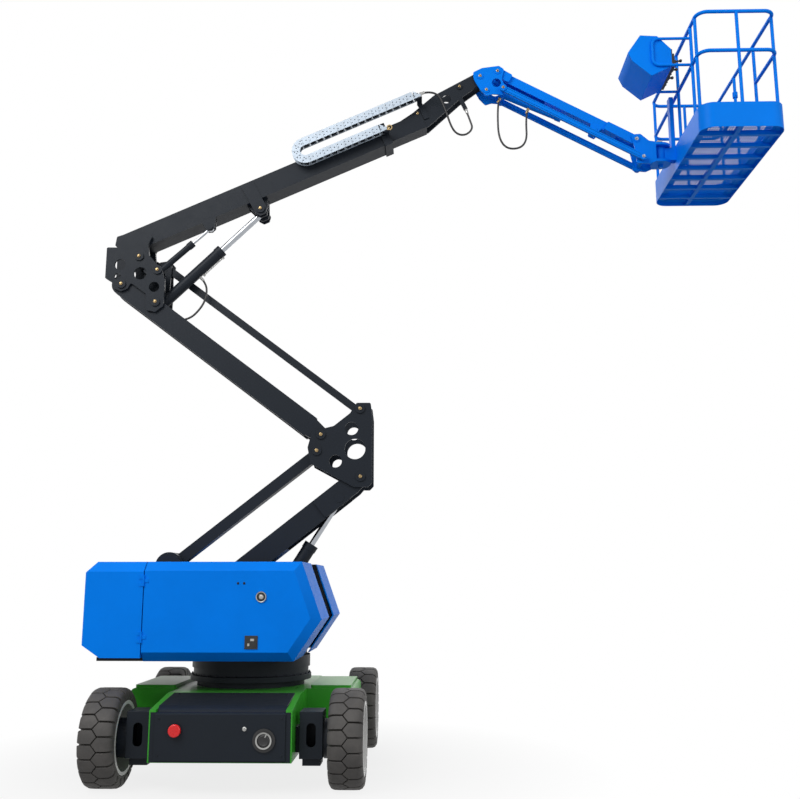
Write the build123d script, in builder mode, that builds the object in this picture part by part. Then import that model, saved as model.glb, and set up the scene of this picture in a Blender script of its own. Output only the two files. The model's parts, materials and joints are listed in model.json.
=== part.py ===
"""Self-propelled articulating boom lift: a four-wheel chassis, a slewing turret, a folding riser of two
parallelogram arms, a telescoping main boom, a parallelogram jib and a work platform.

Millimetres, z up. The origin is on the ground under the slewing axis. x points along the boom, the
chassis runs along y, and the turret stands square across it."""
import math
import os

from build123d import *

os.makedirs("parts", exist_ok=True)

# Driving dimensions: chassis and wheels
wheelbase = 1960
overall_width = 2170
tyre_diameter = 760
tyre_width = 270
tyre_shoulder = 34
rim_radius = 268
rim_flange_radius = 284
rim_flange_width = 12
rim_wall = 14
disc_thickness = 18
disc_offset = 52
hub_radius = 105
hub_length = 62
spindle_radius = 46
frame_overhang = 325
frame_half_width = 548
frame_bottom = 245
side_plate = 50
deck_top = 700
deck_half_length = 765
deck_plate = 20
bottom_plate = 12
bulkhead_y = 500
nose_edge_height = 628
nose_lid_setback = 90
nose_lid_lip = 45
pod_half_length = 425
pod_reach = 960
pod_bottom = 330
pod_lid_height = 26
pod_lid_inset = 14
panel_reach = 15
panel_gap = 2
panel_bottom = 262
panel_top = 612
panel_wall = 8
lid_wall = 8
axle_block_inner = 584
axle_block_outer = 765
axle_block_front = 1150
axle_block_depth = 250
axle_block_bottom = 250
axle_block_top = 600
axle_block_wall = 16
axle_foot_height = 58
axle_slot_width = 72
axle_slot_height = 178
axle_beam_depth = 160
axle_beam_height = 190
drive_hub_radius = 150
kingpin_x = 700
kingpin_radius = 28
knuckle_radius = 66
fork_plate = 34
knuckle_height = 230
fork_web_gap = 30
fork_web = 32
steer_arm_length = 190
tie_rod_radius = 14
tie_eye_radius = 34
tie_eye_height = 34
tie_slot = 90
steer_arm_thickness = 26
stop_button_x = -340
stop_button_z = 482
stop_button_radius = 48
socket_x = 338
socket_z = 412
socket_radius = 86

# Driving dimensions: turret
ring_radius = 535
ring_height = 155
ring_gap = 0.3
turret_bottom = 955
turret_top = 1755
turret_half_width = 950
turret_rear = 1225
turret_front = 715
hood_rear = 738
hood_gap = 8
hood_top_front = 545
hood_tip_height = 1288
hood_bottom_front = 490
hood_wall = 12
hood_bevel = 75
slot_half_width = 225
slot_wall = 8
turret_plate = 30
upright_gap = 150
upright_plate = 20
upright_rear_top = 1640
floor_half_width = 850
floor_front = 340
floor_nose = 470
pocket_rear = 955
weight_chamfer = 82
hinge_heights = (1150, 1600)
hinge_radius = 8
hinge_pin_radius = 4
hinge_leaf = 40
hinge_leaf_thickness = 5
hinge_segment = 30
hinge_play = 0.5
pack_length = 860
pack_width = 400
pack_height = 500

# Driving dimensions: riser arms
riser_angle = 38.2
lower_length = 1690
lower_arm_base = (-351, 1493)
lower_link_rise = (-404, 240)
upper_angle = 37.1
upper_length = 2426
upper_arm_offset = (-368, 390)
upper_link_rise = (360, 241)
arm_depth = 200
arm_half_width = 120
arm_wall = 8
beam_inner = 75
beam_outer = 145
link_depth = 100
link_half_width = 55
link_wall = 7
far_link_inner = 78
far_link_outer = 104
far_link_depth = 70
plate_inner = 150
plate_thickness = 20
pin_radius = 30
pin_clearance = 0.1
head_radius = 44
head_height = 14
link_boss_radius = 125
lug_inner = 57
lug_plate = 15
level_pin_radius = 20

# Driving dimensions: main boom
boom_angle = 23.9
boom_pivot_offset = (159, 275)
boom_axis_height = 194
boom_length = 2700
boom_tail = 90
boom_depth = 206
boom_half_width = 110
boom_wall = 8
collar_length = 80
collar_wall = 14
extension_depth = 164
extension_half_width = 84
extension_wall = 8
extension_rear = 420
extension_end = 3080
slide_clearance = 0.3
head_plate = 16
head_half_gap = 58
jib_pivot_along = 3782
jib_pivot_rise = 189
head_pin_reach = 472
hose_bracket_reach = 430

# Driving dimensions: energy chain
chain_inner = 130
chain_outer = 206
chain_band = 82
chain_spacing = 183
chain_bottom = 194
chain_run = 825

# Driving dimensions: jib and platform
jib_arm_offset = (174, 52)
jib_link_offset = (222, -157)
jib_angle = -28.9
jib_length = 1537
jib_arm_depth = 88
jib_arm_half_width = 52
jib_arm_wall = 8
jib_base_inner = 85
jib_plate = 15
jib_link_inner = 120
jib_link_width = 28
jib_link_depth = 58
jib_pin_radius = 22
jib_head_radius = 34
jib_head_height = 6
rotator_reach = 245
rotator_radius = 55
rotator_pin_radius = 24
basket_gap = 148
basket_width = 760
basket_length = 1830
basket_corner = 125
basket_drop = 290
basket_height = 1165
toe_height = 240
toe_wall = 6
floor_plate = 6
floor_level = 46
floor_flange = 68
deck_inset = 56
rail_radius = 17
post_radius = 15.5
hoop_radius = 13
mid_rail_height = 760
gate_half_width = 250
gate_post_y = 290
gate_tube_radius = 14
hoop_near = -640
hoop_far = -140
hoop_top = 6600
hoop_bottom = 6330
hoop_front = 3715
console_x = 3690
console_z = 6432
console_wall = 6
hose_radius = 10
hose_seat = 0.2

# Driving dimensions: hydraulic cylinders
lift_base = (336, -180)
lift_eye = (1249, -14)
lift_barrel_radius = 54
lift_rod_radius = 30
level_base = (341, 137)
level_eye = (731, 6)
level_barrel_radius = 30
level_rod_radius = 15
level_y = -104
riser_base = (379, -343)
riser_eye_setback = 270
riser_eye_drop = 30
riser_barrel_radius = 62
riser_rod_radius = 27
jib_eye = (1128, -86)
jib_barrel_radius = 30
jib_rod_radius = 14


def along(start, angle, distance, offset=0):
    """Point in x and z at a distance along a slanted line and an offset to its left."""
    c, s = math.cos(math.radians(angle)), math.sin(math.radians(angle))
    return (start[0] + distance * c - offset * s, start[1] + distance * s + offset * c)


def shift(point, step):
    """Point moved by a step in x and z."""
    return (point[0] + step[0], point[1] + step[1])


def slope(start, end):
    """Angle in degrees of the line from start to end."""
    return math.degrees(math.atan2(end[1] - start[1], end[0] - start[0]))


def span(start, end):
    """Distance between two points in x and z."""
    return math.hypot(end[0] - start[0], end[1] - start[1])


def upright(point=(0, 0), angle=0, y=0):
    """Drawing plane that faces the near side, with its x axis along a slanted line."""
    c, s = math.cos(math.radians(angle)), math.sin(math.radians(angle))
    return Plane(origin=(point[0], y, point[1]), x_dir=(c, 0, s), z_dir=(0, -1, 0))


def cross_pin(point, radius, y0, y1, mode=Mode.ADD):
    """Round bar square to the boom plane, from depth y0 to y1, in the active part."""
    with BuildSketch(upright(point, 0, y1)) as section:
        Circle(radius)
    extrude(section.sketch, amount=y1 - y0, mode=mode)


def pin_heads(point, radius, face, height):
    """Pair of round heads on the outer faces of twin plates."""
    cross_pin(point, radius, -face - height, -face)
    cross_pin(point, radius, face, face + height)


def slab(plane, outline, y_thickness, corner=0, holes=(), mode=Mode.ADD):
    """Flat plate cut to an outline, with rounded corners and round holes, grown towards the near side."""
    with BuildSketch(plane) as sketch:
        with BuildLine():
            Polyline(*outline, close=True)
        make_face()
        if corner:
            fillet(sketch.vertices(), corner)
        for x, z, radius in holes:
            with Locations((x, z)):
                Circle(radius, mode=Mode.SUBTRACT)
    extrude(sketch.sketch, amount=y_thickness, mode=mode)


def bar_run(plane, x0, x1, y0, y1, z0, z1, mode=Mode.ADD):
    """Straight bar in a slanted frame: x along it, z across it and y the depth of the machine."""
    with BuildSketch(plane.offset(-y1)) as section:
        with Locations(((x0 + x1) / 2, (z0 + z1) / 2)):
            Rectangle(x1 - x0, z1 - z0)
    extrude(section.sketch, amount=y1 - y0, mode=mode)


def box_tube(plane, x0, x1, half_width, depth, wall, rise=0, y_mid=0):
    """Hollow rectangular tube in a slanted frame, open at both ends."""
    bar_run(plane, x0, x1, y_mid - half_width, y_mid + half_width, rise - depth / 2, rise + depth / 2)
    bar_run(plane, x0 - 1, x1 + 1, y_mid - half_width + wall, y_mid + half_width - wall,
            rise - depth / 2 + wall, rise + depth / 2 - wall, mode=Mode.SUBTRACT)


def tube_run(points, radius, bend=0):
    """Round tube bent through the given points."""
    with BuildLine() as route:
        if bend:
            FilletPolyline(*points, radius=bend)
        else:
            Line(*points)
    with BuildSketch(Plane(origin=route.line @ 0, z_dir=route.line % 0)) as section:
        Circle(radius)
    sweep(section.sketch, path=route.line)


# Pins of the riser, from the base of the lower arm upwards
lower_link_base = shift(lower_arm_base, lower_link_rise)
lower_arm_top = along(lower_arm_base, riser_angle, lower_length)
lower_link_top = along(lower_link_base, riser_angle, lower_length)
upper_arm_base = shift(lower_arm_top, upper_arm_offset)
upper_link_base = shift(upper_arm_base, upper_link_rise)
upper_direction = 180 - upper_angle
upper_arm_top = along(upper_arm_base, upper_direction, upper_length)
upper_link_top = along(upper_link_base, upper_direction, upper_length)
boom_pivot = shift(upper_arm_top, boom_pivot_offset)

# Pins of the boom, the jib and the platform
jib_pivot = along(boom_pivot, boom_angle, jib_pivot_along, boom_axis_height + jib_pivot_rise)
jib_arm_base = shift(jib_pivot, jib_arm_offset)
jib_link_base = shift(jib_pivot, jib_link_offset)
jib_arm_end = along(jib_arm_base, jib_angle, jib_length)
jib_link_end = along(jib_link_base, jib_angle, jib_length)
rotator_x = jib_arm_end[0] + rotator_reach
basket_x = rotator_x + basket_gap
basket_z = jib_arm_end[1] - basket_drop

# Frames along the arms
lower_frame = upright(lower_arm_base, riser_angle)
lower_link_frame = upright(lower_link_base, riser_angle)
upper_frame = upright(upper_arm_base, upper_direction)
upper_link_frame = upright(upper_link_base, upper_direction)
boom_frame = upright(boom_pivot, boom_angle)
jib_frame = upright(jib_arm_base, jib_angle)

tyre_radius = tyre_diameter / 2
wheel_x = (overall_width - tyre_width) / 2
frame_half_length = wheelbase / 2 + frame_overhang
nose_lid_front = frame_half_length - nose_lid_setback
panel_front = frame_half_length + panel_reach
panel_back = nose_lid_front + nose_lid_lip + panel_gap
chain_bend_along = boom_length - chain_run
riser_eye = (lower_length - riser_eye_setback, -riser_eye_drop)
steer_arm_z = tyre_radius - knuckle_height / 2 + 2
tie_z = steer_arm_z + steer_arm_thickness + 0.3

# Chassis frame: two long side plates joined by a deck, a belly plate and bulkheads, with a box at each side
with BuildPart() as chassis_frame:
    with BuildSketch(Plane.YZ):
        with BuildLine():
            Polyline(
                (-frame_half_length, frame_bottom),
                (frame_half_length, frame_bottom),
                (frame_half_length, nose_edge_height),
                (deck_half_length, deck_top),
                (-deck_half_length, deck_top),
                (-frame_half_length, nose_edge_height),
                close=True,
            )
        make_face()
    extrude(amount=frame_half_width, both=True)
    bay_floor = frame_bottom + bottom_plate
    bay_half_width = frame_half_width - side_plate
    with BuildSketch(Plane.YZ):
        with Locations((0, (bay_floor + deck_top - deck_plate) / 2)):
            Rectangle(2 * bulkhead_y - bottom_plate, deck_top - deck_plate - bay_floor)
        bay_inner = bulkhead_y + bottom_plate / 2
        bay_end = 2 * frame_half_length
        for end in (-1, 1):
            with Locations((end * (bay_inner + bay_end) / 2, (bay_floor + deck_top - deck_plate) / 2)):
                Rectangle(bay_end - bay_inner, deck_top - deck_plate - bay_floor)
            with Locations((end * (deck_half_length + bay_end) / 2, (bay_floor + 2 * deck_top) / 2)):
                Rectangle(bay_end - deck_half_length, 2 * deck_top - bay_floor)
    extrude(amount=bay_half_width, both=True, mode=Mode.SUBTRACT)
    for side in (-1, 1):
        with BuildSketch(Plane.XZ.offset(-pod_half_length)) as pod:
            with Locations((side * (frame_half_width + pod_reach) / 2, (pod_bottom + deck_top) / 2)):
                Rectangle(pod_reach - frame_half_width, deck_top - pod_bottom)
            corners = pod.vertices().sort_by(Axis.X)
            fillet(corners[-2:] if side > 0 else corners[:2], 40)
        extrude(amount=2 * pod_half_length)
    for axle_y in (-wheelbase / 2, wheelbase / 2):
        with Locations((0, axle_y, tyre_radius)):
            Box(2 * frame_half_width + 2, axle_beam_depth, axle_beam_height, mode=Mode.SUBTRACT)
    with Locations((0, wheelbase / 2 - steer_arm_length, tie_z + tie_eye_height / 2)):
        Box(2 * frame_half_width + 2, tie_slot, tie_slot, mode=Mode.SUBTRACT)

# Lids of the side boxes
with BuildPart() as pod_lids:
    for side in (-1, 1):
        with BuildSketch(Plane.XY.offset(deck_top)) as lid:
            with Locations((side * (frame_half_width + pod_reach) / 2, 0)):
                RectangleRounded(pod_reach - frame_half_width - 2 * pod_lid_inset - 40,
                                 2 * pod_half_length - 2 * pod_lid_inset, 24)
        extrude(amount=pod_lid_height)

# Sloped lids over the two ends of the frame
with BuildPart() as nose_lids:
    for end in (-1, 1):
        rise = (deck_top - nose_edge_height) / (frame_half_length - deck_half_length)
        back, front = end * deck_half_length, end * nose_lid_front
        front_z = deck_top - rise * (nose_lid_front - deck_half_length)
        with BuildSketch(Plane.YZ):
            with BuildLine():
                Polyline(
                    (back, deck_top), (front, front_z + 12),
                     (end * (nose_lid_front + nose_lid_lip), front_z - 30),
                    (end * (nose_lid_front + nose_lid_lip), front_z - 30 - lid_wall),
                    (front, front_z + 12 - lid_wall), (back, deck_top - lid_wall), close=True,
                )
            make_face()
        extrude(amount=bay_half_width, both=True)

# Folded end panels that close the frame in front and behind, between the side plates
with BuildPart() as end_panels:
    for end in (-1, 1):
        with BuildSketch(Plane.YZ):
            with BuildLine():
                Polyline(
                    (end * panel_back, panel_bottom), (end * panel_front, panel_bottom),
                    (end * panel_front, panel_top - 14), (end * (panel_front - 20), panel_top),
                    (end * panel_back, panel_top), close=True,
                )
            make_face()
        extrude(amount=bay_half_width, both=True)
        with BuildSketch(Plane.YZ):
            with Locations((end * (panel_back + panel_front - panel_wall) / 2, (panel_bottom + panel_top) / 2)):
                Rectangle(panel_front - panel_wall - panel_back, panel_top - panel_bottom - 2 * panel_wall)
        extrude(amount=bay_half_width - panel_wall, both=True, mode=Mode.SUBTRACT)

# Red stop button and charging socket on the near panel
near_panel = Plane(origin=(0, -panel_front, 0), x_dir=(1, 0, 0), z_dir=(0, -1, 0))
with BuildPart() as stop_button:
    with BuildSketch(near_panel):
        with Locations((stop_button_x, stop_button_z)):
            Circle(stop_button_radius * 0.55)
    extrude(amount=16)
    with BuildSketch(near_panel.offset(16)):
        with Locations((stop_button_x, stop_button_z)):
            Circle(stop_button_radius)
    extrude(amount=26)
    fillet(stop_button.edges().filter_by(GeomType.CIRCLE).sort_by(Axis.Y)[0], 10)
with BuildPart() as charge_socket:
    with BuildSketch(near_panel):
        with Locations((socket_x, socket_z)):
            Circle(socket_radius)
    extrude(amount=14)
    with BuildSketch(near_panel.offset(14)):
        with Locations((socket_x, socket_z)):
            Circle(socket_radius * 0.72)
            Circle(socket_radius * 0.6, mode=Mode.SUBTRACT)
    extrude(amount=10)

# End blocks of the drive axle: hollow boxes with a tie-down slot in front and a foot below
drive_y = -wheelbase / 2
hub_face = wheel_x + disc_offset - disc_thickness
hub_inner_face = hub_face - pin_clearance * 4
with BuildPart() as axle_blocks:
    for side in (-1, 1):
        block_x = side * (axle_block_inner + axle_block_outer) / 2
        block_width = axle_block_outer - axle_block_inner
        block_y = -axle_block_front + axle_block_depth / 2
        block_z = (axle_block_bottom + axle_block_top) / 2
        block_height = axle_block_top - axle_block_bottom
        with Locations((block_x, block_y, block_z)):
            Box(block_width, axle_block_depth, block_height)
            Box(block_width - 2 * axle_block_wall, axle_block_depth - 2 * axle_block_wall,
                block_height - 2 * axle_block_wall, mode=Mode.SUBTRACT)
        with Locations((block_x, block_y + 25, axle_block_bottom - axle_foot_height / 2)):
            Box(block_width - 40, axle_block_depth - 50, axle_foot_height)
        slot_face = Plane(origin=(block_x, -axle_block_front, block_z), x_dir=(1, 0, 0), z_dir=(0, -1, 0))
        with BuildSketch(slot_face):
            SlotOverall(axle_slot_height, axle_slot_width, rotation=90)
        extrude(amount=-axle_block_wall, mode=Mode.SUBTRACT)

# Drive axle at the near end: beam between the end blocks, and a hub motor with its spindle outside each
with BuildPart() as drive_axle:
    with Locations((0, drive_y, tyre_radius)):
        Box(2 * axle_block_inner, axle_beam_depth, axle_beam_height)
    for side in (-1, 1):
        block_face = Plane(origin=(side * axle_block_outer, drive_y, tyre_radius),
                           x_dir=(0, 1, 0), z_dir=(side, 0, 0))
        with BuildSketch(block_face):
            Circle(drive_hub_radius)
        extrude(amount=hub_inner_face - axle_block_outer)
        with BuildSketch(block_face):
            Circle(spindle_radius)
        extrude(amount=hub_face + hub_length - axle_block_outer)

# Steering axle at the far end: beam with a fork at each end for the kingpins
steer_y = wheelbase / 2
fork_z = knuckle_height / 2
with BuildPart() as steer_axle:
    with Locations((0, steer_y, tyre_radius)):
        Box(2 * (kingpin_x - knuckle_radius - fork_web_gap), axle_beam_depth, axle_beam_height)
    for side in (-1, 1):
        for level in (-1, 1):
            fork_bottom = tyre_radius + level * fork_z - (fork_plate if level < 0 else 0)
            with BuildSketch(Plane.XY.offset(fork_bottom)):
                with Locations((side * (kingpin_x - 70), steer_y)):
                    Rectangle(140, axle_beam_depth)
                with Locations((side * kingpin_x, steer_y)):
                    Circle(axle_beam_depth / 2 - 14)
            extrude(amount=fork_plate)
        web_x = kingpin_x - knuckle_radius - fork_web_gap - fork_web / 2
        with Locations((side * web_x, steer_y, tyre_radius)):
            Box(fork_web, axle_beam_depth, knuckle_height)
        with Locations((side * kingpin_x, steer_y, tyre_radius)):
            Cylinder(kingpin_radius, knuckle_height + 2 * fork_plate + 24)

# Steering knuckles: kingpin barrel, hub motor and spindle, and a steering arm behind
knuckles = {}
for name, side in (("left", -1), ("right", 1)):
    with BuildPart() as knuckle:
        with Locations((side * kingpin_x, steer_y, tyre_radius)):
            Cylinder(knuckle_radius, knuckle_height - 1)
        axis_face = Plane(origin=(side * kingpin_x, steer_y, tyre_radius), x_dir=(0, 1, 0), z_dir=(side, 0, 0))
        with BuildSketch(axis_face):
            Circle(knuckle_radius + 24)
        extrude(amount=hub_inner_face - kingpin_x)
        with BuildSketch(axis_face.offset(75)):
            Circle(drive_hub_radius)
        extrude(amount=hub_inner_face - kingpin_x - 75)
        with BuildSketch(axis_face):
            Circle(spindle_radius)
        extrude(amount=hub_face + hub_length - kingpin_x)
        with BuildSketch(Plane.XY.offset(steer_arm_z)):
            with Locations((side * kingpin_x, steer_y - steer_arm_length / 2)):
                Rectangle(56, steer_arm_length)
            with Locations((side * kingpin_x, steer_y - steer_arm_length)):
                Circle(tie_eye_radius)
        extrude(amount=steer_arm_thickness)
        with Locations((side * kingpin_x, steer_y, tyre_radius)):
            Cylinder(kingpin_radius + pin_clearance, knuckle_height * 2, mode=Mode.SUBTRACT)
    knuckles[name] = knuckle.part

# Tie rod that joins the two steering arms
with BuildPart() as tie_rod:
    for side in (-1, 1):
        with Locations((side * kingpin_x, steer_y - steer_arm_length, tie_z + tie_eye_height / 2)):
            Cylinder(tie_eye_radius, tie_eye_height)
    with Locations((0, steer_y - steer_arm_length, tie_z + tie_eye_height / 2)):
        Cylinder(tie_rod_radius, 2 * kingpin_x, rotation=(0, 90, 0))

# Four wheels: solid tyre and dished steel rim
wheel_places = [
    ("near_left", -1, drive_y), ("near_right", 1, drive_y),
    ("far_left", -1, steer_y), ("far_right", 1, steer_y),
]
tyres, rims = {}, {}
for name, side, wheel_y in wheel_places:
    wheel_centre = (side * wheel_x, wheel_y, tyre_radius)
    axle_line = Axis(wheel_centre, (1, 0, 0))
    section = Plane(origin=wheel_centre, x_dir=(side, 0, 0), z_dir=(0, -side, 0))
    half = tyre_width / 2
    with BuildPart() as tyre:
        with BuildSketch(section) as profile:
            with BuildLine():
                Polyline(
                    (-half, rim_flange_radius + 1), (-half + rim_flange_width, rim_radius + 0.3),
                    (half - rim_flange_width, rim_radius + 0.3), (half, rim_flange_radius + 1),
                    (half, tyre_radius - tyre_shoulder), (half - tyre_shoulder, tyre_radius),
                    (-half + tyre_shoulder, tyre_radius), (-half, tyre_radius - tyre_shoulder), close=True,
                )
            make_face()
        revolve(axis=axle_line)
    tyres[name] = tyre.part
    with BuildPart() as rim:
        with BuildSketch(section):
            with BuildLine():
                Polyline(
                    (-half, rim_flange_radius), (-half + rim_flange_width, rim_radius),
                    (half - rim_flange_width, rim_radius), (half, rim_flange_radius),
                    (half, rim_radius - rim_wall), (disc_offset, rim_radius - rim_wall - 8),
                    (disc_offset, hub_radius), (disc_offset - disc_thickness + hub_length, hub_radius - 14),
                    (disc_offset - disc_thickness + hub_length, spindle_radius + pin_clearance),
                    (disc_offset - disc_thickness, spindle_radius + pin_clearance),
                    (disc_offset - disc_thickness, rim_radius - rim_wall - 26),
                    (-half, rim_radius - rim_wall), close=True,
                )
            make_face()
        revolve(axis=axle_line)
    rims[name] = rim.part

# Slewing ring on the deck
with BuildPart() as slew_ring:
    ring_top = deck_top + ring_height
    with BuildSketch(Plane.XZ):
        with BuildLine():
            Polyline(
                (0, deck_top), (ring_radius - 60, deck_top), (ring_radius - 60, deck_top + 40),
                (ring_radius, deck_top + 48), (ring_radius, deck_top + 92), (ring_radius - 26, deck_top + 98),
                (ring_radius - 26, ring_top), (0, ring_top), close=True,
            )
        make_face()
    revolve(axis=Axis.Z)

# Turret frame: slewing flange, floor plate, two uprights with the base pins of the riser
with BuildPart() as turret_frame:
    flange_bottom = deck_top + ring_height + ring_gap
    with BuildSketch(Plane.XY.offset(flange_bottom)):
        Circle(ring_radius - 12)
    extrude(amount=turret_bottom - flange_bottom)
    with BuildSketch(Plane.XY.offset(turret_bottom)) as floor:
        with BuildLine():
            Polyline(
                (-turret_rear + 95, -floor_half_width), (floor_front, -floor_half_width),
                (floor_nose, -slot_half_width), (floor_nose, slot_half_width),
                (floor_front, floor_half_width), (-turret_rear + 95, floor_half_width), close=True,
            )
        make_face()
    extrude(amount=turret_plate)
    floor_top = turret_bottom + turret_plate
    for y0, y1 in ((-upright_gap - upright_plate, -upright_gap), (upright_gap, upright_gap + upright_plate)):
        outline = (
            (-pocket_rear + 20, floor_top), (420, floor_top), (420, floor_top + 190),
            (riser_base[0] + lower_arm_base[0] + 240, floor_top + 330),
            shift(lower_arm_base, (110, 20)), shift(lower_link_base, (130, 20)),
            shift(lower_link_base, (70, 90)), shift(lower_link_base, (-80, 90)),
            (-pocket_rear + 20, upright_rear_top),
        )
        slab(upright(y=y1), outline, y1 - y0, corner=24, holes=((-560, 1330, 110), (-200, 1190, 95)))
    for y1 in (-slot_half_width + slot_wall, slot_half_width):
        slab(upright(y=y1), (
            (-hood_rear, floor_top), (-hood_rear, turret_top - 4), (hood_top_front - 4, turret_top - 4),
            (turret_front - 30, hood_tip_height), (hood_bottom_front - 40, floor_top)), slot_wall)
    for pin in (lower_arm_base, lower_link_base):
        cross_pin(pin, pin_radius, -upright_gap - 1, upright_gap + 1)
        pin_heads(pin, head_radius, upright_gap + upright_plate, head_height)
    riser_foot = shift(lower_arm_base, riser_base)
    cross_pin(riser_foot, pin_radius, -upright_gap - 1, upright_gap + 1)

# Counterweight at the tail, with a pocket for the riser's foot and the fixed halves of the hood hinges
hinge_x = -hood_rear - hood_gap / 2
hinge_y = turret_half_width + hinge_radius
leaf_y = turret_half_width + hinge_leaf_thickness / 2
with BuildPart() as counterweight:
    with BuildSketch(Plane.XZ.offset(-turret_half_width)):
        with BuildLine():
            Polyline(
                (-hood_rear - hood_gap, turret_bottom + turret_plate), (-hood_rear - hood_gap, turret_top),
                (-turret_rear + 70, turret_top), (-turret_rear, turret_top - 90),
                (-turret_rear, turret_bottom + 130), (-turret_rear + 150, turret_bottom + turret_plate),
                close=True,
            )
        make_face()
    extrude(amount=2 * turret_half_width)
    chamfer(counterweight.edges().filter_by(Axis.X).group_by(Axis.Z)[-1], weight_chamfer)
    with Locations(((-pocket_rear - hood_rear + 200) / 2, 0, turret_top)):
        Box(pocket_rear - hood_rear + 200, 2 * slot_half_width, 2 * (turret_top - floor_top),
            mode=Mode.SUBTRACT)
    for side in (-1, 1):
        for z in hinge_heights:
            with Locations((hinge_x, side * hinge_y, z)):
                Cylinder(hinge_pin_radius, 3 * hinge_segment)
            for end in (-1, 1):
                segment_z = z + end * hinge_segment
                with Locations((hinge_x, side * hinge_y, segment_z)):
                    Cylinder(hinge_radius, hinge_segment)
                with Locations((hinge_x - hinge_leaf / 2, side * leaf_y, segment_z)):
                    Box(hinge_leaf, hinge_leaf_thickness, hinge_segment)

# Two hoods: folded covers that swing out at the joint with the counterweight
hoods = {}
for name, side in (("near", -1), ("far", 1)):
    outer_y, inner_y = side * turret_half_width, side * (slot_half_width + 5)
    with BuildPart() as hood:
        outline = (
            (-hood_rear, turret_bottom), (-hood_rear, turret_top), (hood_top_front, turret_top),
            (turret_front, hood_tip_height), (hood_bottom_front, turret_bottom),
        )
        slab(upright(y=max(outer_y, inner_y)), outline, abs(outer_y - inner_y))
        outside = hood.faces().sort_by(Axis.Y)[0 if side < 0 else -1]
        chamfer([e for e in outside.edges() if abs(e.center().X + hood_rear) > 1], hood_bevel)
        slot_face = hood.faces().sort_by(Axis.Y)[-1 if side < 0 else 0]
        rear_face = hood.faces().sort_by(Axis.X)[0]
        bottom_face = hood.faces().sort_by(Axis.Z)[0]
        offset(amount=-hood_wall, openings=[slot_face, rear_face, bottom_face])
        for z in hinge_heights:
            with Locations((hinge_x, side * hinge_y, z)):
                Cylinder(hinge_radius, hinge_segment - 2 * hinge_play)
            with Locations((hinge_x + hinge_leaf / 2, side * leaf_y, z)):
                Box(hinge_leaf, hinge_leaf_thickness, hinge_segment - 2 * hinge_play)
            with Locations((hinge_x, side * hinge_y, z)):
                Cylinder(hinge_pin_radius + pin_clearance, hinge_segment, mode=Mode.SUBTRACT)
    hoods[name] = hood.part

# Battery and hydraulic packs under the hoods
with BuildPart() as power_packs:
    for side in (-1, 1):
        with Locations((-150, side * 610, floor_top + pack_height / 2)):
            Box(pack_length, pack_width, pack_height)

# Lower arm: box tube, open below at its upper end where the riser cylinder reaches in
with BuildPart() as lower_arm:
    channel_start = 760
    box_tube(lower_frame, 40, lower_length - 200, arm_half_width, arm_depth, arm_wall)
    bar_run(lower_frame, channel_start, lower_length, -arm_half_width + arm_wall, arm_half_width - arm_wall,
            -arm_depth, arm_depth / 2 - arm_wall, mode=Mode.SUBTRACT)
    for y0, y1 in ((-beam_outer, -arm_half_width), (arm_half_width, beam_outer)):
        plane = upright(lower_arm_base, riser_angle, y1)
        slab(plane, ((lower_length - 480, -96), (lower_length - 480, 96), (lower_length - 120, 96),
                     (lower_length + 70, 60), (lower_length + 70, -62), (lower_length - 100, -96)),
             y1 - y0, corner=22)
        with BuildSketch(plane):
            Circle(105)
            with Locations((120, 0)):
                Rectangle(240, arm_depth)
        extrude(amount=y1 - y0)
    cross_pin(lower_arm_base, 75, -beam_outer, beam_outer)
    pin_heads(along(lower_arm_base, riser_angle, *riser_eye), head_radius, beam_outer, head_height / 2 - 3)
    for pin in (lower_arm_base, lower_arm_top):
        cross_pin(pin, pin_radius + pin_clearance, -200, 200, mode=Mode.SUBTRACT)

# Lower link: slim tube above the arm, with a large round boss at its foot
with BuildPart() as lower_link:
    box_tube(lower_link_frame, 60, lower_length - 30, link_half_width, link_depth, link_wall)
    cross_pin(lower_link_base, link_boss_radius, -upright_gap + 5, -link_half_width)
    cross_pin(lower_link_base, 78, -link_half_width, link_half_width)
    cross_pin(lower_link_base, link_boss_radius, link_half_width, upright_gap - 5)
    cross_pin(lower_link_top, 58, -beam_inner + 6, beam_inner - 6)
    for pin in (lower_link_base, lower_link_top):
        cross_pin(pin, pin_radius + pin_clearance, -200, 200, mode=Mode.SUBTRACT)

# Mid knuckle: twin plates with four pins
knuckle_outline = (
    (-40, 686), (90, 686), (105, 560), (105, -60), (70, -96), (-60, -96), (-460, 120), (-490, 270),
    (-450, 420), (-250, 470), (-100, 590),
)
knuckle_holes = ((-86, 446, 62), (-52, 255, 95), (-230, 142, 58))
with BuildPart() as mid_knuckle:
    for y0, y1 in ((-plate_inner - plate_thickness, -plate_inner), (plate_inner, plate_inner + plate_thickness)):
        slab(upright(lower_arm_top, 0, y1), knuckle_outline, y1 - y0, corner=16, holes=knuckle_holes)
    for pin in (lower_arm_top, lower_link_top, upper_arm_base, upper_link_base):
        cross_pin(pin, pin_radius, -plate_inner - 1, plate_inner + 1)
        pin_heads(pin, head_radius, plate_inner + plate_thickness, head_height)

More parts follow.
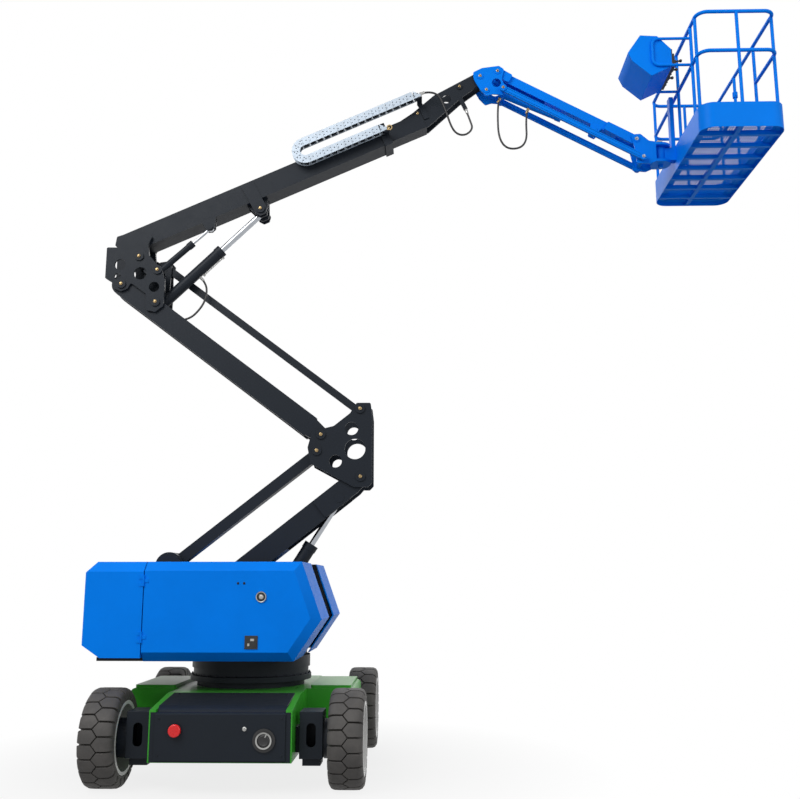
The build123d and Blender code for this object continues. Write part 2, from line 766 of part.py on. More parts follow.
# Upper arm: two slim beams side by side, so that the lift cylinder can fold in between them
with BuildPart() as upper_arm:
    beam_mid = (beam_inner + beam_outer) / 2
    for y_mid in (-beam_mid, beam_mid):
        beam_half = (beam_outer - beam_inner) / 2
        box_tube(upper_frame, 130, upper_length - 60, beam_half, arm_depth, arm_wall, y_mid=y_mid)
        y0, y1 = y_mid - beam_half, y_mid + beam_half
        plane = upright(upper_arm_base, upper_direction, y1)
        slab(plane, ((-70, -60), (-70, 60), (60, 80), (200, arm_depth / 2), (200, -arm_depth / 2), (60, -80)),
             y1 - y0, corner=20)
        with BuildSketch(plane):
            with Locations((upper_length, 0)):
                Circle(arm_depth / 2)
            with Locations((upper_length - 60, 0)):
                Rectangle(120, arm_depth)
        extrude(amount=y1 - y0)
    for distance in (360, 760, 1180):
        bar_run(upper_frame, distance - 45, distance + 45, -beam_inner - 1, beam_inner + 1, -60, 60)
    for pin in (upper_arm_base, upper_arm_top):
        cross_pin(pin, pin_radius + pin_clearance, -200, 200, mode=Mode.SUBTRACT)

# Upper link: slim tube on the far side of the lift cylinder
far_link_mid = (far_link_inner + far_link_outer) / 2
far_link_half = (far_link_outer - far_link_inner) / 2
with BuildPart() as upper_link:
    box_tube(upper_link_frame, 40, upper_length - 40, far_link_half, far_link_depth, 5, y_mid=far_link_mid)
    for pin in (upper_link_base, upper_link_top):
        cross_pin(pin, 48, far_link_inner, far_link_outer)
    for pin in (upper_link_base, upper_link_top):
        cross_pin(pin, pin_radius + pin_clearance, -200, 200, mode=Mode.SUBTRACT)

# Top knuckle: twin plates outside, two inner lugs that carry the lift cylinder
near_outline = (
    (-160, 368), (-160, 60), (-92, 16), (-70, -46), (0, -74), (62, -46), (90, 10), (240, -100), (250, -262),
    (336, -280), (412, -222), (416, 24), (382, 142), (186, 360),
)
far_outline = near_outline[:-2] + ((410, 142), (430, 270), (385, 320), (300, 300), (186, 360))
near_lug = ((180, 110), (205, 185), (370, 190), (392, 120), (396, -190), (336, -232), (276, -190))
far_lug = ((180, 110), (205, 185), (300, 290), (370, 300), (418, 250), (396, -190), (336, -232), (276, -190))
top_holes = ((-20, 194, 54), (-40, 74, 32), (176, 104, 62), (316, -32, 50))
lift_foot = shift(upper_arm_top, lift_base)
level_foot = shift(upper_arm_top, level_base)
cross_bar = shift(upper_arm_top, (240, 140))
with BuildPart() as top_knuckle:
    plate_outer = plate_inner + plate_thickness
    slab(upright(upper_arm_top, 0, -plate_inner), near_outline, plate_thickness, corner=14, holes=top_holes)
    slab(upright(upper_arm_top, 0, plate_outer), far_outline, plate_thickness, corner=14, holes=top_holes)
    slab(upright(upper_arm_top, 0, -lug_inner), near_lug, lug_plate, corner=18)
    slab(upright(upper_arm_top, 0, lug_inner + lug_plate), far_lug, lug_plate, corner=18)
    for pin in (upper_arm_top, boom_pivot):
        cross_pin(pin, pin_radius, -plate_inner - 1, plate_inner + 1)
    for pin in (upper_arm_top, boom_pivot, lift_foot, level_foot):
        pin_heads(pin, head_radius, plate_outer, head_height)
    cross_pin(cross_bar, 36, -plate_inner - 1, plate_inner + 1)
    cross_pin(lift_foot, pin_radius, -lug_inner - 1, lug_inner + 1)
    cross_pin(level_foot, level_pin_radius, -plate_inner - 1, -lug_inner - lug_plate + 1)
    cross_pin(upper_link_top, pin_radius, lug_inner + lug_plate - 1, plate_inner + 1)

# Main boom: box tube with a base bracket, lift and level brackets, and a front collar
boom_bottom = boom_axis_height - boom_depth / 2
boom_top = boom_axis_height + boom_depth / 2
with BuildPart() as boom_tube:
    box_tube(boom_frame, -boom_tail, boom_length, boom_half_width, boom_depth, boom_wall, rise=boom_axis_height)
    for y0, y1 in ((-beam_outer, -boom_half_width), (boom_half_width, beam_outer)):
        slab(upright(boom_pivot, boom_angle, y1), (
            (-80, -70), (70, -70), (120, boom_bottom), (190, boom_bottom + 60),
             (40, boom_top - 30), (-boom_tail - 40, boom_top - 10), (-boom_tail - 90, boom_top - 90),
             (-boom_tail, boom_bottom)), y1 - y0, corner=18)
    cross_pin(boom_pivot, 62, -beam_outer, beam_outer)
    cross_pin(boom_pivot, pin_radius + pin_clearance, -200, 200, mode=Mode.SUBTRACT)
    eye_x, eye_z = lift_eye
    for y0, y1 in ((-boom_half_width - 16, -boom_half_width), (boom_half_width, boom_half_width + 16)):
        slab(upright(boom_pivot, boom_angle, y1), ((eye_x - 62, eye_z - 20), (eye_x - 30, eye_z - 62),
             (eye_x + 30, eye_z - 62), (eye_x + 62, eye_z - 20), (eye_x + 40, boom_top - 10),
             (eye_x - 90, boom_top - 10)), y1 - y0, corner=18)
    for y0, y1 in ((-58, -40), (40, 58)):
        slab(upright(boom_pivot, boom_angle, y1), ((eye_x - 60, eye_z - 20), (eye_x - 30, eye_z - 60),
             (eye_x + 30, eye_z - 60), (eye_x + 60, eye_z - 20), (eye_x + 110, boom_bottom + 2),
             (eye_x - 110, boom_bottom + 2)), y1 - y0, corner=6)
    cross_pin(along(boom_pivot, boom_angle, eye_x, eye_z), pin_radius, -boom_half_width - 1, -57)
    cross_pin(along(boom_pivot, boom_angle, eye_x, eye_z), pin_radius, 57, boom_half_width + 1)
    pin_heads(along(boom_pivot, boom_angle, eye_x, eye_z), head_radius, boom_half_width + 16, head_height)
    for y0, y1 in ((level_y - 32, level_y - 20), (level_y + 20, level_y + 32)):
        slab(upright(boom_pivot, boom_angle, y1), ((level_eye[0] - 40, level_eye[1] - 20),
             (level_eye[0], level_eye[1] - 36), (level_eye[0] + 40, level_eye[1] - 20),
             (level_eye[0] + 90, boom_bottom - 1), (level_eye[0] - 60, boom_bottom - 1)), y1 - y0, corner=6)
    bar_run(boom_frame, level_eye[0] - 60, level_eye[0] + 90, level_y - 32, level_y + 32,
            boom_bottom - 12, boom_bottom)
    level_point = along(boom_pivot, boom_angle, *level_eye)
    cross_pin(level_point, 24, level_y - 40, level_y - 32)
    cross_pin(level_point, 24, level_y + 32, level_y + 40)
    bar_run(boom_frame, boom_length - 45, boom_length, -chain_outer, -boom_half_width,
            chain_bottom - 14, chain_bottom)
    bar_run(boom_frame, boom_length - collar_length, boom_length, -boom_half_width - collar_wall,
            boom_half_width + collar_wall, boom_bottom - collar_wall, boom_top + collar_wall)
    bar_run(boom_frame, boom_length - collar_length - 1, boom_length + 1, -extension_half_width - slide_clearance,
            extension_half_width + slide_clearance, boom_axis_height - extension_depth / 2 - slide_clearance,
            boom_axis_height + extension_depth / 2 + slide_clearance, mode=Mode.SUBTRACT)

# Energy chain beside the boom: fixed lower run, moving upper run and the bend between them
chain_middle = chain_bottom + chain_band / 2 + chain_spacing / 2
with BuildPart() as chain_lower:
    bar_run(boom_frame, chain_bend_along + 0.3, boom_length, -chain_outer, -chain_inner,
            chain_bottom, chain_bottom + chain_band)
with BuildPart() as chain_upper:
    bar_run(boom_frame, chain_bend_along + 0.3, extension_end + 60, -chain_outer, -chain_inner,
            chain_bottom + chain_spacing, chain_bottom + chain_spacing + chain_band)
with BuildPart() as chain_bend:
    bend_centre = along(boom_pivot, boom_angle, chain_bend_along, chain_middle)
    with BuildSketch(upright(bend_centre, boom_angle, -chain_inner)):
        Circle((chain_spacing + chain_band) / 2)
        Circle((chain_spacing - chain_band) / 2, mode=Mode.SUBTRACT)
        with Locations((chain_spacing, 0)):
            Rectangle(2 * chain_spacing, 2 * chain_spacing, mode=Mode.SUBTRACT)
    extrude(amount=chain_outer - chain_inner)

# Extension: inner tube with a raised head of twin plates that carries the jib
with BuildPart() as extension:
    box_tube(boom_frame, extension_rear, extension_end, extension_half_width, extension_depth, extension_wall,
             rise=boom_axis_height)
    pivot_x, pivot_z = jib_pivot_along, boom_axis_height + jib_pivot_rise
    for y0, y1 in ((-head_half_gap - head_plate, -head_half_gap), (head_half_gap, head_half_gap + head_plate)):
        slab(upright(boom_pivot, boom_angle, y1), (
            (extension_end - 250, boom_axis_height - 70), (extension_end + 20, boom_axis_height - 80),
            (extension_end + 420, boom_axis_height + 60), (pivot_x + 40, pivot_z - 52),
            (pivot_x + 58, pivot_z + 10),
            (pivot_x + 10, pivot_z + 58), (extension_end + 200, boom_axis_height + 200),
            (extension_end - 60, boom_axis_height + 118), (extension_end - 250, boom_axis_height + 80),
        ), y1 - y0, corner=16, holes=((extension_end + 301, boom_axis_height + 114, 46),))
    bar_run(boom_frame, extension_end + 90, extension_end + 140, -head_half_gap - 1, head_half_gap + 1,
            boom_axis_height - 20, boom_axis_height + 130)
    head_pins = (
        (extension_end - 27, boom_axis_height + 87), (extension_end + head_pin_reach, boom_axis_height + 180),
    )
    for x, z in head_pins:
        point = along(boom_pivot, boom_angle, x, z)
        cross_pin(point, 20, -head_half_gap - 1, head_half_gap + 1)
        pin_heads(point, 30, head_half_gap + head_plate, 10)
    shelf = chain_bottom + chain_spacing
    bar_run(boom_frame, extension_end + 10, extension_end + 60, -chain_outer, -head_half_gap - 1,
            shelf - 12, shelf)
    bar_run(boom_frame, extension_end + 10, extension_end + 60, -head_half_gap - head_plate - 12,
            -head_half_gap - head_plate + 1, boom_axis_height, shelf)
    bracket_x = extension_end + hose_bracket_reach
    bracket_z = boom_axis_height - 66
    bar_run(boom_frame, bracket_x - 20, bracket_x + 20, -head_half_gap - head_plate, -head_half_gap,
            bracket_z, boom_axis_height + 75)
    cross_pin(jib_pivot, jib_pin_radius + 18, -head_half_gap - 1, head_half_gap + 1)
    cross_pin(jib_pivot, jib_pin_radius + pin_clearance, -200, 200, mode=Mode.SUBTRACT)

# Jib base: twin blue plates that stay level, with the pins of the jib
with BuildPart() as jib_base:
    outer = jib_base_inner + jib_plate
    for y0, y1 in ((-outer, -jib_base_inner), (jib_base_inner, outer)):
        slab(upright(jib_pivot, 0, y1), ((-70, 40), (20, 86), (190, 108), (240, 70), (214, -40), (262, -140),
             (236, -206), (120, -196), (60, -216), (0, -150), (-60, -40)), y1 - y0, corner=20,
             holes=((161, -75, 46),))
    for pin in (jib_pivot, jib_arm_base):
        cross_pin(pin, jib_pin_radius, -jib_base_inner - 1, jib_base_inner + 1)
    for pin in (jib_pivot, jib_arm_base, shift(jib_pivot, (60, -151))):
        pin_heads(pin, jib_head_radius, outer, jib_head_height)
    link_outer = jib_link_inner + jib_link_width
    cross_pin(jib_link_base, jib_pin_radius, -link_outer - 1, -jib_base_inner)
    cross_pin(jib_link_base, jib_pin_radius, jib_base_inner, link_outer + 1)
    pin_heads(jib_link_base, jib_head_radius, link_outer + 0.5, 10)

# Jib arm: upper tube, open below near its foot where the cylinder folds in
with BuildPart() as jib_arm:
    box_tube(jib_frame, 50, jib_length - 190, jib_arm_half_width, jib_arm_depth, jib_arm_wall)
    bar_run(jib_frame, 0, 560, -jib_arm_half_width + jib_arm_wall, jib_arm_half_width - jib_arm_wall,
            -jib_arm_depth, jib_arm_depth / 2 - jib_arm_wall, mode=Mode.SUBTRACT)
    for y0, y1 in ((-jib_base_inner + 5, -jib_arm_half_width + jib_arm_wall),
                   (jib_arm_half_width - jib_arm_wall, jib_base_inner - 5)):
        plane = upright(jib_arm_base, jib_angle, y1)
        slab(plane, ((-46, -30), (-46, 30), (0, 52), (150, jib_arm_depth / 2),
                     (150, -jib_arm_depth / 2), (0, -52)),
             y1 - y0, corner=14)
        slab(plane, ((jib_length - 330, -jib_arm_depth / 2), (jib_length - 330, jib_arm_depth / 2),
                     (jib_length - 60, jib_arm_depth / 2), (jib_length + 46, 28), (jib_length + 46, -28),
                     (jib_length - 20, -52)), y1 - y0, corner=14)
    for y0, y1 in ((-jib_base_inner + 20, -34), (34, jib_base_inner - 20)):
        slab(upright(jib_arm_base, jib_angle, y1), ((jib_eye[0] - 62, -40), (jib_eye[0] + 62, -40),
             (jib_eye[0] + 34, jib_eye[1] - 34), (jib_eye[0] - 34, jib_eye[1] - 34)), y1 - y0, corner=12)
    eye_point = along(jib_arm_base, jib_angle, *jib_eye)
    cross_pin(eye_point, 17, -35, 35)
    pin_heads(eye_point, 26, jib_base_inner - 20, 8)
    for pin in (jib_arm_base, jib_arm_end):
        cross_pin(pin, jib_pin_radius + pin_clearance, -200, 200, mode=Mode.SUBTRACT)

# Jib links: a flat bar on each side below the arm
with BuildPart() as jib_links:
    for y1 in (-jib_link_inner, link_outer):
        with BuildSketch(upright(jib_link_base, jib_angle, y1)):
            with Locations((jib_length / 2, 0)):
                SlotCenterToCenter(jib_length, jib_link_depth)
            with Locations((0, 0), (jib_length, 0)):
                Circle(jib_pin_radius + pin_clearance, mode=Mode.SUBTRACT)
        extrude(amount=jib_link_width)

# Platform mount: plates at the jib's end with the upright rotator
with BuildPart() as platform_mount:
    end_link = (jib_link_end[0] - jib_arm_end[0], jib_link_end[1] - jib_arm_end[1])
    for y0, y1 in ((-outer, -jib_base_inner), (jib_base_inner, outer)):
        slab(upright(jib_arm_end, 0, y1), (
            (-52, 46), (40, 52), (120, -20), (180, -30), (180, -235), (120, -262),
             (end_link[0] - 60, end_link[1] - 40), (end_link[0] - 52, end_link[1] + 30)), y1 - y0, corner=16)
    for pin in (jib_arm_end, jib_link_end):
        cross_pin(pin, jib_pin_radius, -jib_base_inner - 1, jib_base_inner + 1)
    pin_heads(jib_arm_end, jib_head_radius, outer, jib_head_height)
    cross_pin(jib_link_end, jib_pin_radius, -link_outer - 1, link_outer + 1)
    pin_heads(jib_link_end, jib_head_radius, link_outer + 0.5, 10)
    mount_x = jib_arm_end[0] + 170
    for z in (-60, -234):
        with BuildSketch(Plane.XY.offset(jib_arm_end[1] + z)):
            with Locations(((mount_x + rotator_x) / 2, 0)):
                Rectangle(rotator_x - mount_x, 2 * outer)
            with Locations((rotator_x, 0)):
                Circle(outer)
        extrude(amount=24)
    with Locations((mount_x + 8, 0, jib_arm_end[1] - 135)):
        Box(16, 2 * outer, 174)
    with Locations((rotator_x, 0, jib_arm_end[1] - 135)):
        Cylinder(rotator_pin_radius, 260)

# Basket floor: tray with toe-boards, a flange round its inside, cross-members and a rib along it
basket_centre = (basket_x + basket_width / 2, 0)
floor_top_z = basket_z + floor_level
with BuildPart() as basket_floor:
    with BuildSketch(Plane.XY.offset(basket_z)):
        with Locations(basket_centre):
            RectangleRounded(basket_width, basket_length, basket_corner)
            RectangleRounded(basket_width - 2 * toe_wall, basket_length - 2 * toe_wall,
                             basket_corner - toe_wall, mode=Mode.SUBTRACT)
    extrude(amount=toe_height)
    with BuildSketch(Plane.XY.offset(floor_top_z - floor_plate)):
        with Locations(basket_centre):
            RectangleRounded(basket_width - toe_wall, basket_length - toe_wall, basket_corner - toe_wall / 2)
            RectangleRounded(basket_width - 2 * floor_flange, basket_length - 2 * floor_flange,
                             basket_corner - floor_flange, mode=Mode.SUBTRACT)
    extrude(amount=floor_plate)
    for k in range(-3, 4):
        with Locations((basket_centre[0], k * basket_length / 7.6, floor_top_z - 20)):
            Box(basket_width - toe_wall, 40, 40)
    with Locations((basket_centre[0] - 30, 0, floor_top_z - 20)):
        Box(40, basket_length - toe_wall, 40)

# Deck: floor sheet laid on the flange and the cross-members, clear of the posts
with BuildPart() as basket_deck:
    with BuildSketch(Plane.XY.offset(floor_top_z)):
        with Locations(basket_centre):
            RectangleRounded(basket_width - 2 * deck_inset, basket_length - 2 * deck_inset,
                             basket_corner - deck_inset)
    extrude(amount=floor_plate)

# Basket arm: sleeve on the rotator pin, web and post against the toe-board
sleeve_bottom = jib_arm_end[1] - 209
sleeve_height = 148
with BuildPart() as basket_arm:
    with Locations((rotator_x, 0, sleeve_bottom + sleeve_height / 2)):
        Cylinder(rotator_radius, sleeve_height)
    with Locations(((rotator_x + basket_x) / 2, 0, sleeve_bottom + sleeve_height / 2)):
        Box(basket_x - rotator_x, 80, sleeve_height - 20)
    with Locations((basket_x - 20, 0, (sleeve_bottom + 10 + basket_z + mid_rail_height) / 2)):
        Box(40, 80, basket_z + mid_rail_height - sleeve_bottom - 10)
    with Locations((rotator_x, 0, sleeve_bottom)):
        Cylinder(rotator_pin_radius + pin_clearance, 1000, mode=Mode.SUBTRACT)

# Basket rails: top and middle rail on upright tubes, with two hoops round the control box
rail_y = basket_length / 2 - rail_radius - 12
rail_x0 = basket_x + rail_radius + 12
rail_x1 = basket_x + basket_width - rail_radius - 12
rail_bend = basket_corner - rail_radius - 12
top_rail_z = basket_z + basket_height - rail_radius
mid_rail_z = basket_z + mid_rail_height
with BuildPart() as basket_rails:
    for half in (-1, 1):
        end_y = half * rail_y
        tube_run(((rail_x0, 0, top_rail_z), (rail_x0, end_y, top_rail_z), (rail_x1, end_y, top_rail_z),
                  (rail_x1, 0, top_rail_z)), rail_radius, rail_bend)
        tube_run(((rail_x0, 0, mid_rail_z), (rail_x0, end_y, mid_rail_z), (rail_x1, end_y, mid_rail_z),
                  (rail_x1, half * gate_post_y, mid_rail_z)), rail_radius, rail_bend)
    posts = [
        (rail_x0, -rail_y + rail_bend), (rail_x0, hoop_near), (rail_x0, hoop_far),
        (rail_x0, rail_y - rail_bend),
        (rail_x1, -rail_y + rail_bend), (rail_x1, -gate_post_y), (rail_x1, gate_post_y),
        (rail_x1, rail_y - rail_bend), (basket_centre[0], -rail_y), (basket_centre[0], rail_y),
    ]
    for x, y in posts:
        tube_run(((x, y, floor_top_z), (x, y, top_rail_z)), post_radius)
    for y in (hoop_near, hoop_far):
        tube_run(((rail_x0, y, hoop_top), (hoop_front, y, hoop_top), (hoop_front, y, hoop_bottom),
                  (rail_x0, y, hoop_bottom)), hoop_radius, 60)

# Gate in the right side: a tube frame on sleeves round its post, opening inwards
with BuildPart() as basket_gate:
    gate_low, gate_high = basket_z + toe_height + 60, top_rail_z - 70
    for half in (-1, 1):
        tube_run(((rail_x1, 0, gate_low), (rail_x1, half * gate_half_width, gate_low),
                  (rail_x1, half * gate_half_width, gate_high), (rail_x1, 0, gate_high)), gate_tube_radius, 70)
    gate_middle = (gate_low + gate_high) / 2
    tube_run(((rail_x1, -gate_half_width, gate_middle), (rail_x1, gate_half_width, gate_middle)),
             gate_tube_radius - 3)
    for z in (gate_low + 60, gate_high - 130):
        with Locations((rail_x1, (gate_half_width + gate_post_y) / 2, z)):
            Box(14, gate_post_y - gate_half_width, 44)
        with Locations((rail_x1, gate_post_y, z)):
            Cylinder(rail_radius + 9, 60)
    with Locations((rail_x1, gate_post_y, basket_z)):
        Cylinder(post_radius + pin_clearance, 4 * basket_height, mode=Mode.SUBTRACT)

# Control box between the hoops: folded cover, open towards the operator, and the panel that closes it
console_width = hoop_far - hoop_near - 2 * hoop_radius - 0.6
console_face = console_x + 205
with BuildPart() as control_box:
    slab(upright(y=hoop_far - hoop_radius - 0.3), (
        (console_x - 200, console_z + 40), (console_x - 80, console_z + 215), (console_x + 80, console_z + 205),
        (console_face, console_z + 70), (console_face, console_z - 105), (console_x + 10, console_z - 200),
        (console_x - 160, console_z - 50)), console_width)
    offset(amount=-console_wall, openings=[control_box.faces().sort_by(Axis.X)[-1]])
with BuildPart() as control_panel:
    with Locations((console_face + 4, (hoop_near + hoop_far) / 2, console_z - 17)):
        Box(8, console_width, 173)

# Hydraulic cylinders: barrel with a base eye and a gland, rod with a piston and an end eye
riser_point = along(lower_arm_base, riser_angle, *riser_eye)
lift_point = along(boom_pivot, boom_angle, *lift_eye)
cylinder_table = [
    # name, base pin, end eye, depth, barrel, rod and pin radius,
    # barrel length, rod start, base and eye half, eye wall
    ("riser", riser_foot, riser_point, 0, riser_barrel_radius, riser_rod_radius, pin_radius,
     926, 550, 60, 70, 12),
    ("lift", lift_foot, lift_point, 0, lift_barrel_radius, lift_rod_radius, pin_radius,
     815, 380, lug_inner - 5, 34, 6),
    ("level", level_foot, level_point, level_y, level_barrel_radius, level_rod_radius, level_pin_radius,
     430, 178, 24, 17, 12),
    ("jib", jib_link_base, eye_point, 0, jib_barrel_radius, jib_rod_radius, 17, 640, 199, 26, 26, 12),
]
barrels, rods = {}, {}
for row in cylinder_table:
    name, base, eye, depth, barrel_r, rod_r, pin_r = row[:7]
    barrel_length, rod_start, base_half, eye_half, eye_wall = row[7:]
    tilt = slope(base, eye)
    length = span(base, eye)
    axis_plane = Plane(origin=(base[0], depth, base[1]), x_dir=(0, 1, 0),
                       z_dir=(math.cos(math.radians(tilt)), 0, math.sin(math.radians(tilt))))
    base_plane = upright(base, tilt, depth + base_half)
    eye_plane = upright(eye, tilt, depth + eye_half)
    bore_r = barrel_r * 0.82
    with BuildPart() as barrel:
        with BuildSketch(axis_plane.offset(pin_r + 12)):
            Circle(barrel_r)
        extrude(amount=barrel_length - pin_r - 12)
        with BuildSketch(axis_plane.offset(barrel_length - 60)):
            Circle(barrel_r + 5)
        extrude(amount=60)
        with BuildSketch(base_plane):
            Circle(pin_r + 22)
            with Locations(((pin_r + 20) / 2, 0)):
                Rectangle(pin_r + 20, 2 * pin_r + 10)
        extrude(amount=2 * base_half)
        with BuildSketch(axis_plane.offset(pin_r + 40)):
            Circle(bore_r)
        extrude(amount=barrel_length - pin_r - 70, mode=Mode.SUBTRACT)
        with BuildSketch(axis_plane.offset(barrel_length - 100)):
            Circle(rod_r + pin_clearance)
        extrude(amount=101, mode=Mode.SUBTRACT)
        if name != "jib":
            with BuildSketch(base_plane):
                Circle(pin_r + pin_clearance)
            extrude(amount=2 * base_half, mode=Mode.SUBTRACT)
    barrels[name] = barrel.part
    with BuildPart() as rod:
        with BuildSketch(axis_plane.offset(rod_start)):
            Circle(rod_r)
        extrude(amount=length - rod_start - rod_r / 2)
        with BuildSketch(axis_plane.offset(rod_start)):
            Circle(bore_r - 0.3)
        extrude(amount=24)
        with BuildSketch(eye_plane):
            Circle(pin_r + eye_wall)
        extrude(amount=2 * eye_half)
        if name == "jib":
            with BuildSketch(eye_plane):
                Circle(pin_r + pin_clearance)
            extrude(amount=2 * eye_half, mode=Mode.SUBTRACT)
    rods[name] = rod.part

# Free hoses: a loop under the lift cylinder, one at the boom head and one under the jib cylinder
lift_tilt = slope(lift_foot, lift_point)
lift_port = along(lift_foot, lift_tilt, 478, -lift_barrel_radius - hose_seat)
lift_lead = along(lift_foot, lift_tilt, 478, -lift_barrel_radius - 90)
lift_start = shift(lift_foot, (0, -pin_radius - 22 - hose_seat))
chain_exit = along(boom_pivot, boom_angle, extension_end + 60 + hose_seat, shelf + chain_band / 2)
chain_lead = along(chain_exit, boom_angle, 70)
head_port = along(boom_pivot, boom_angle, bracket_x, bracket_z - 2.5)
jib_tilt = slope(jib_link_base, eye_point)
jib_port = along(jib_link_base, jib_tilt, 300, -jib_barrel_radius - hose_seat)
jib_lead = along(jib_link_base, jib_tilt, 300, -jib_barrel_radius - 70)
jib_start = along(jib_link_base, -120, 39 + hose_seat)
hose_table = [
    # name, bend radius, route in x and z with its depth
    ("hose_lift", 85, [(lift_start, 0), (shift(lift_foot, (2, -141)), 0), (shift(lift_foot, (280, -141)), 0),
                       (shift(lift_foot, (405, -11)), 0), (shift(lift_foot, (450, 109)), 0), (lift_lead, 0),
                       (lift_port, 0)]),
    ("hose_head", 90, [(chain_exit, -168), (chain_lead, -168), (shift(chain_exit, (185, 4)), -162),
                       (shift(chain_exit, (333, -401)), -140), (shift(chain_exit, (523, -401)), -105),
                       (head_port, -head_half_gap - head_plate / 2)]),
    ("hose_jib", 125, [(jib_start, 0), (along(jib_link_base, -120, 100), 0),
                       (shift(jib_link_base, (-40, -577)), 0),
                       (shift(jib_link_base, (242, -577)), 0), (jib_lead, 0), (jib_port, 0)]),
]
hoses = {}
for name, bend, route in hose_table:
    with BuildPart() as hose:
        tube_run([(point[0], depth, point[1]) for point, depth in route], hose_radius, bend)
    hoses[name] = hose.part

parts = {
    "chain_lower": chain_lower.part,
    "chain_upper": chain_upper.part,
    "chain_bend": chain_bend.part,
    "basket_arm": basket_arm.part,
    "basket_gate": basket_gate.part,
    "control_box": control_box.part,
    "control_panel": control_panel.part,
    "chassis_frame": chassis_frame.part,
    "pod_lids": pod_lids.part,
    "nose_lids": nose_lids.part,
    "end_panels": end_panels.part,
    "stop_button": stop_button.part,
    "charge_socket": charge_socket.part,
    "axle_blocks": axle_blocks.part,
    "drive_axle": drive_axle.part,
    "steer_axle": steer_axle.part,
    "knuckle_left": knuckles["left"],
    "knuckle_right": knuckles["right"],
    "tie_rod": tie_rod.part,
    "slew_ring": slew_ring.part,
    "turret_frame": turret_frame.part,
    "counterweight": counterweight.part,
    "hood_near": hoods["near"],
    "hood_far": hoods["far"],
    "power_packs": power_packs.part,
    "lower_arm": lower_arm.part,
    "lower_link": lower_link.part,
    "mid_knuckle": mid_knuckle.part,
    "upper_arm": upper_arm.part,
    "upper_link": upper_link.part,
    "top_knuckle": top_knuckle.part,
    "boom_tube": boom_tube.part,
    "extension": extension.part,
    "jib_base": jib_base.part,
    "jib_arm": jib_arm.part,
    "jib_links": jib_links.part,
    "platform_mount": platform_mount.part,
    "basket_floor": basket_floor.part,
    "basket_deck": basket_deck.part,
    "basket_rails": basket_rails.part,
}
for name, side, wheel_y in wheel_places:
    parts["tyre_" + name] = tyres[name]
    parts["rim_" + name] = rims[name]
parts.update(hoses)
for name in barrels:
    parts[name + "_barrel"] = barrels[name]
    parts[name + "_rod"] = rods[name]
for name, solid in parts.items():
    solid.label = name
    export_step(solid, f"parts/{name}.step")
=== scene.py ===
import json
import math

import bmesh
import bpy
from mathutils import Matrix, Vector


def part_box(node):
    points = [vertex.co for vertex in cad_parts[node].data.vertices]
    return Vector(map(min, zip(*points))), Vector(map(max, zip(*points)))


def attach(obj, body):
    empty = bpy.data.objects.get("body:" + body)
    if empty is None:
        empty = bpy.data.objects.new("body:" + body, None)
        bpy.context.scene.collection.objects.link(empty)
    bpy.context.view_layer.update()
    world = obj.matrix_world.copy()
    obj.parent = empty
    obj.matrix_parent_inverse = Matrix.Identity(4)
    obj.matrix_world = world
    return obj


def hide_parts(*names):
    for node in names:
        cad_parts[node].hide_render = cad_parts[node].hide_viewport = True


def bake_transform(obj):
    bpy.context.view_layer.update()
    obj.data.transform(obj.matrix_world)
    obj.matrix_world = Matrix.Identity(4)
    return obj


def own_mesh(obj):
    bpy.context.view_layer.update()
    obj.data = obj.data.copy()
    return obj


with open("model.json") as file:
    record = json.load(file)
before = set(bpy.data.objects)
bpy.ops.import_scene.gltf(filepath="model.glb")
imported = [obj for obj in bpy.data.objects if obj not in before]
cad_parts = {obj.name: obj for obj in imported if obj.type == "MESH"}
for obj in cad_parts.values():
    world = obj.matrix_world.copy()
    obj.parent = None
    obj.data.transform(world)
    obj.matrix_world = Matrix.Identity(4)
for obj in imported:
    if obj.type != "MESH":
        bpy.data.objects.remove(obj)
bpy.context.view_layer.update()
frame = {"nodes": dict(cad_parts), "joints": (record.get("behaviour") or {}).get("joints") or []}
scene = bpy.context.scene

# Chassis frame: two long side plates welded to a deck, a belly plate and two side boxes.
# It is cut from steel plate, sprayed green after welding, and carries everything else.
GREEN = (0.040, 0.330, 0.026)


def new_material(name):
    material = bpy.data.materials.new(name)
    material.use_nodes = True
    tree = material.node_tree
    return material, tree.nodes, tree.links, tree.nodes["Principled BSDF"]


def noise(nodes, links, scale, detail=4.0, rough=0.55):
    place = nodes.new("ShaderNodeTexCoord")
    texture = nodes.new("ShaderNodeTexNoise")
    texture.inputs["Scale"].default_value = scale
    texture.inputs["Detail"].default_value = detail
    texture.inputs["Roughness"].default_value = rough
    links.new(place.outputs["Object"], texture.inputs["Vector"])
    return texture.outputs["Fac"]


def ramp(nodes, links, value, low, high, start=0.0, end=1.0):
    curve = nodes.new("ShaderNodeMapRange")
    curve.inputs["From Min"].default_value = start
    curve.inputs["From Max"].default_value = end
    curve.inputs["To Min"].default_value = low
    curve.inputs["To Max"].default_value = high
    links.new(value, curve.inputs["Value"])
    return curve.outputs["Result"]


def mixed(nodes, links, share, first, second):
    blend = nodes.new("ShaderNodeMix")
    blend.data_type = "RGBA"
    links.new(share, blend.inputs["Factor"])
    for socket, colour in ((blend.inputs[6], first), (blend.inputs[7], second)):
        if isinstance(colour, tuple):
            socket.default_value = (*colour, 1)
        else:
            links.new(colour, socket)
    return blend.outputs[2]


def shade(colour, factor):
    return tuple(min(1.0, c * factor) for c in colour)


def bumped(nodes, links, shader, height, strength, distance):
    bump = nodes.new("ShaderNodeBump")
    bump.inputs["Strength"].default_value = strength
    bump.inputs["Distance"].default_value = distance
    links.new(height, bump.inputs["Height"])
    links.new(bump.outputs["Normal"], shader.inputs["Normal"])


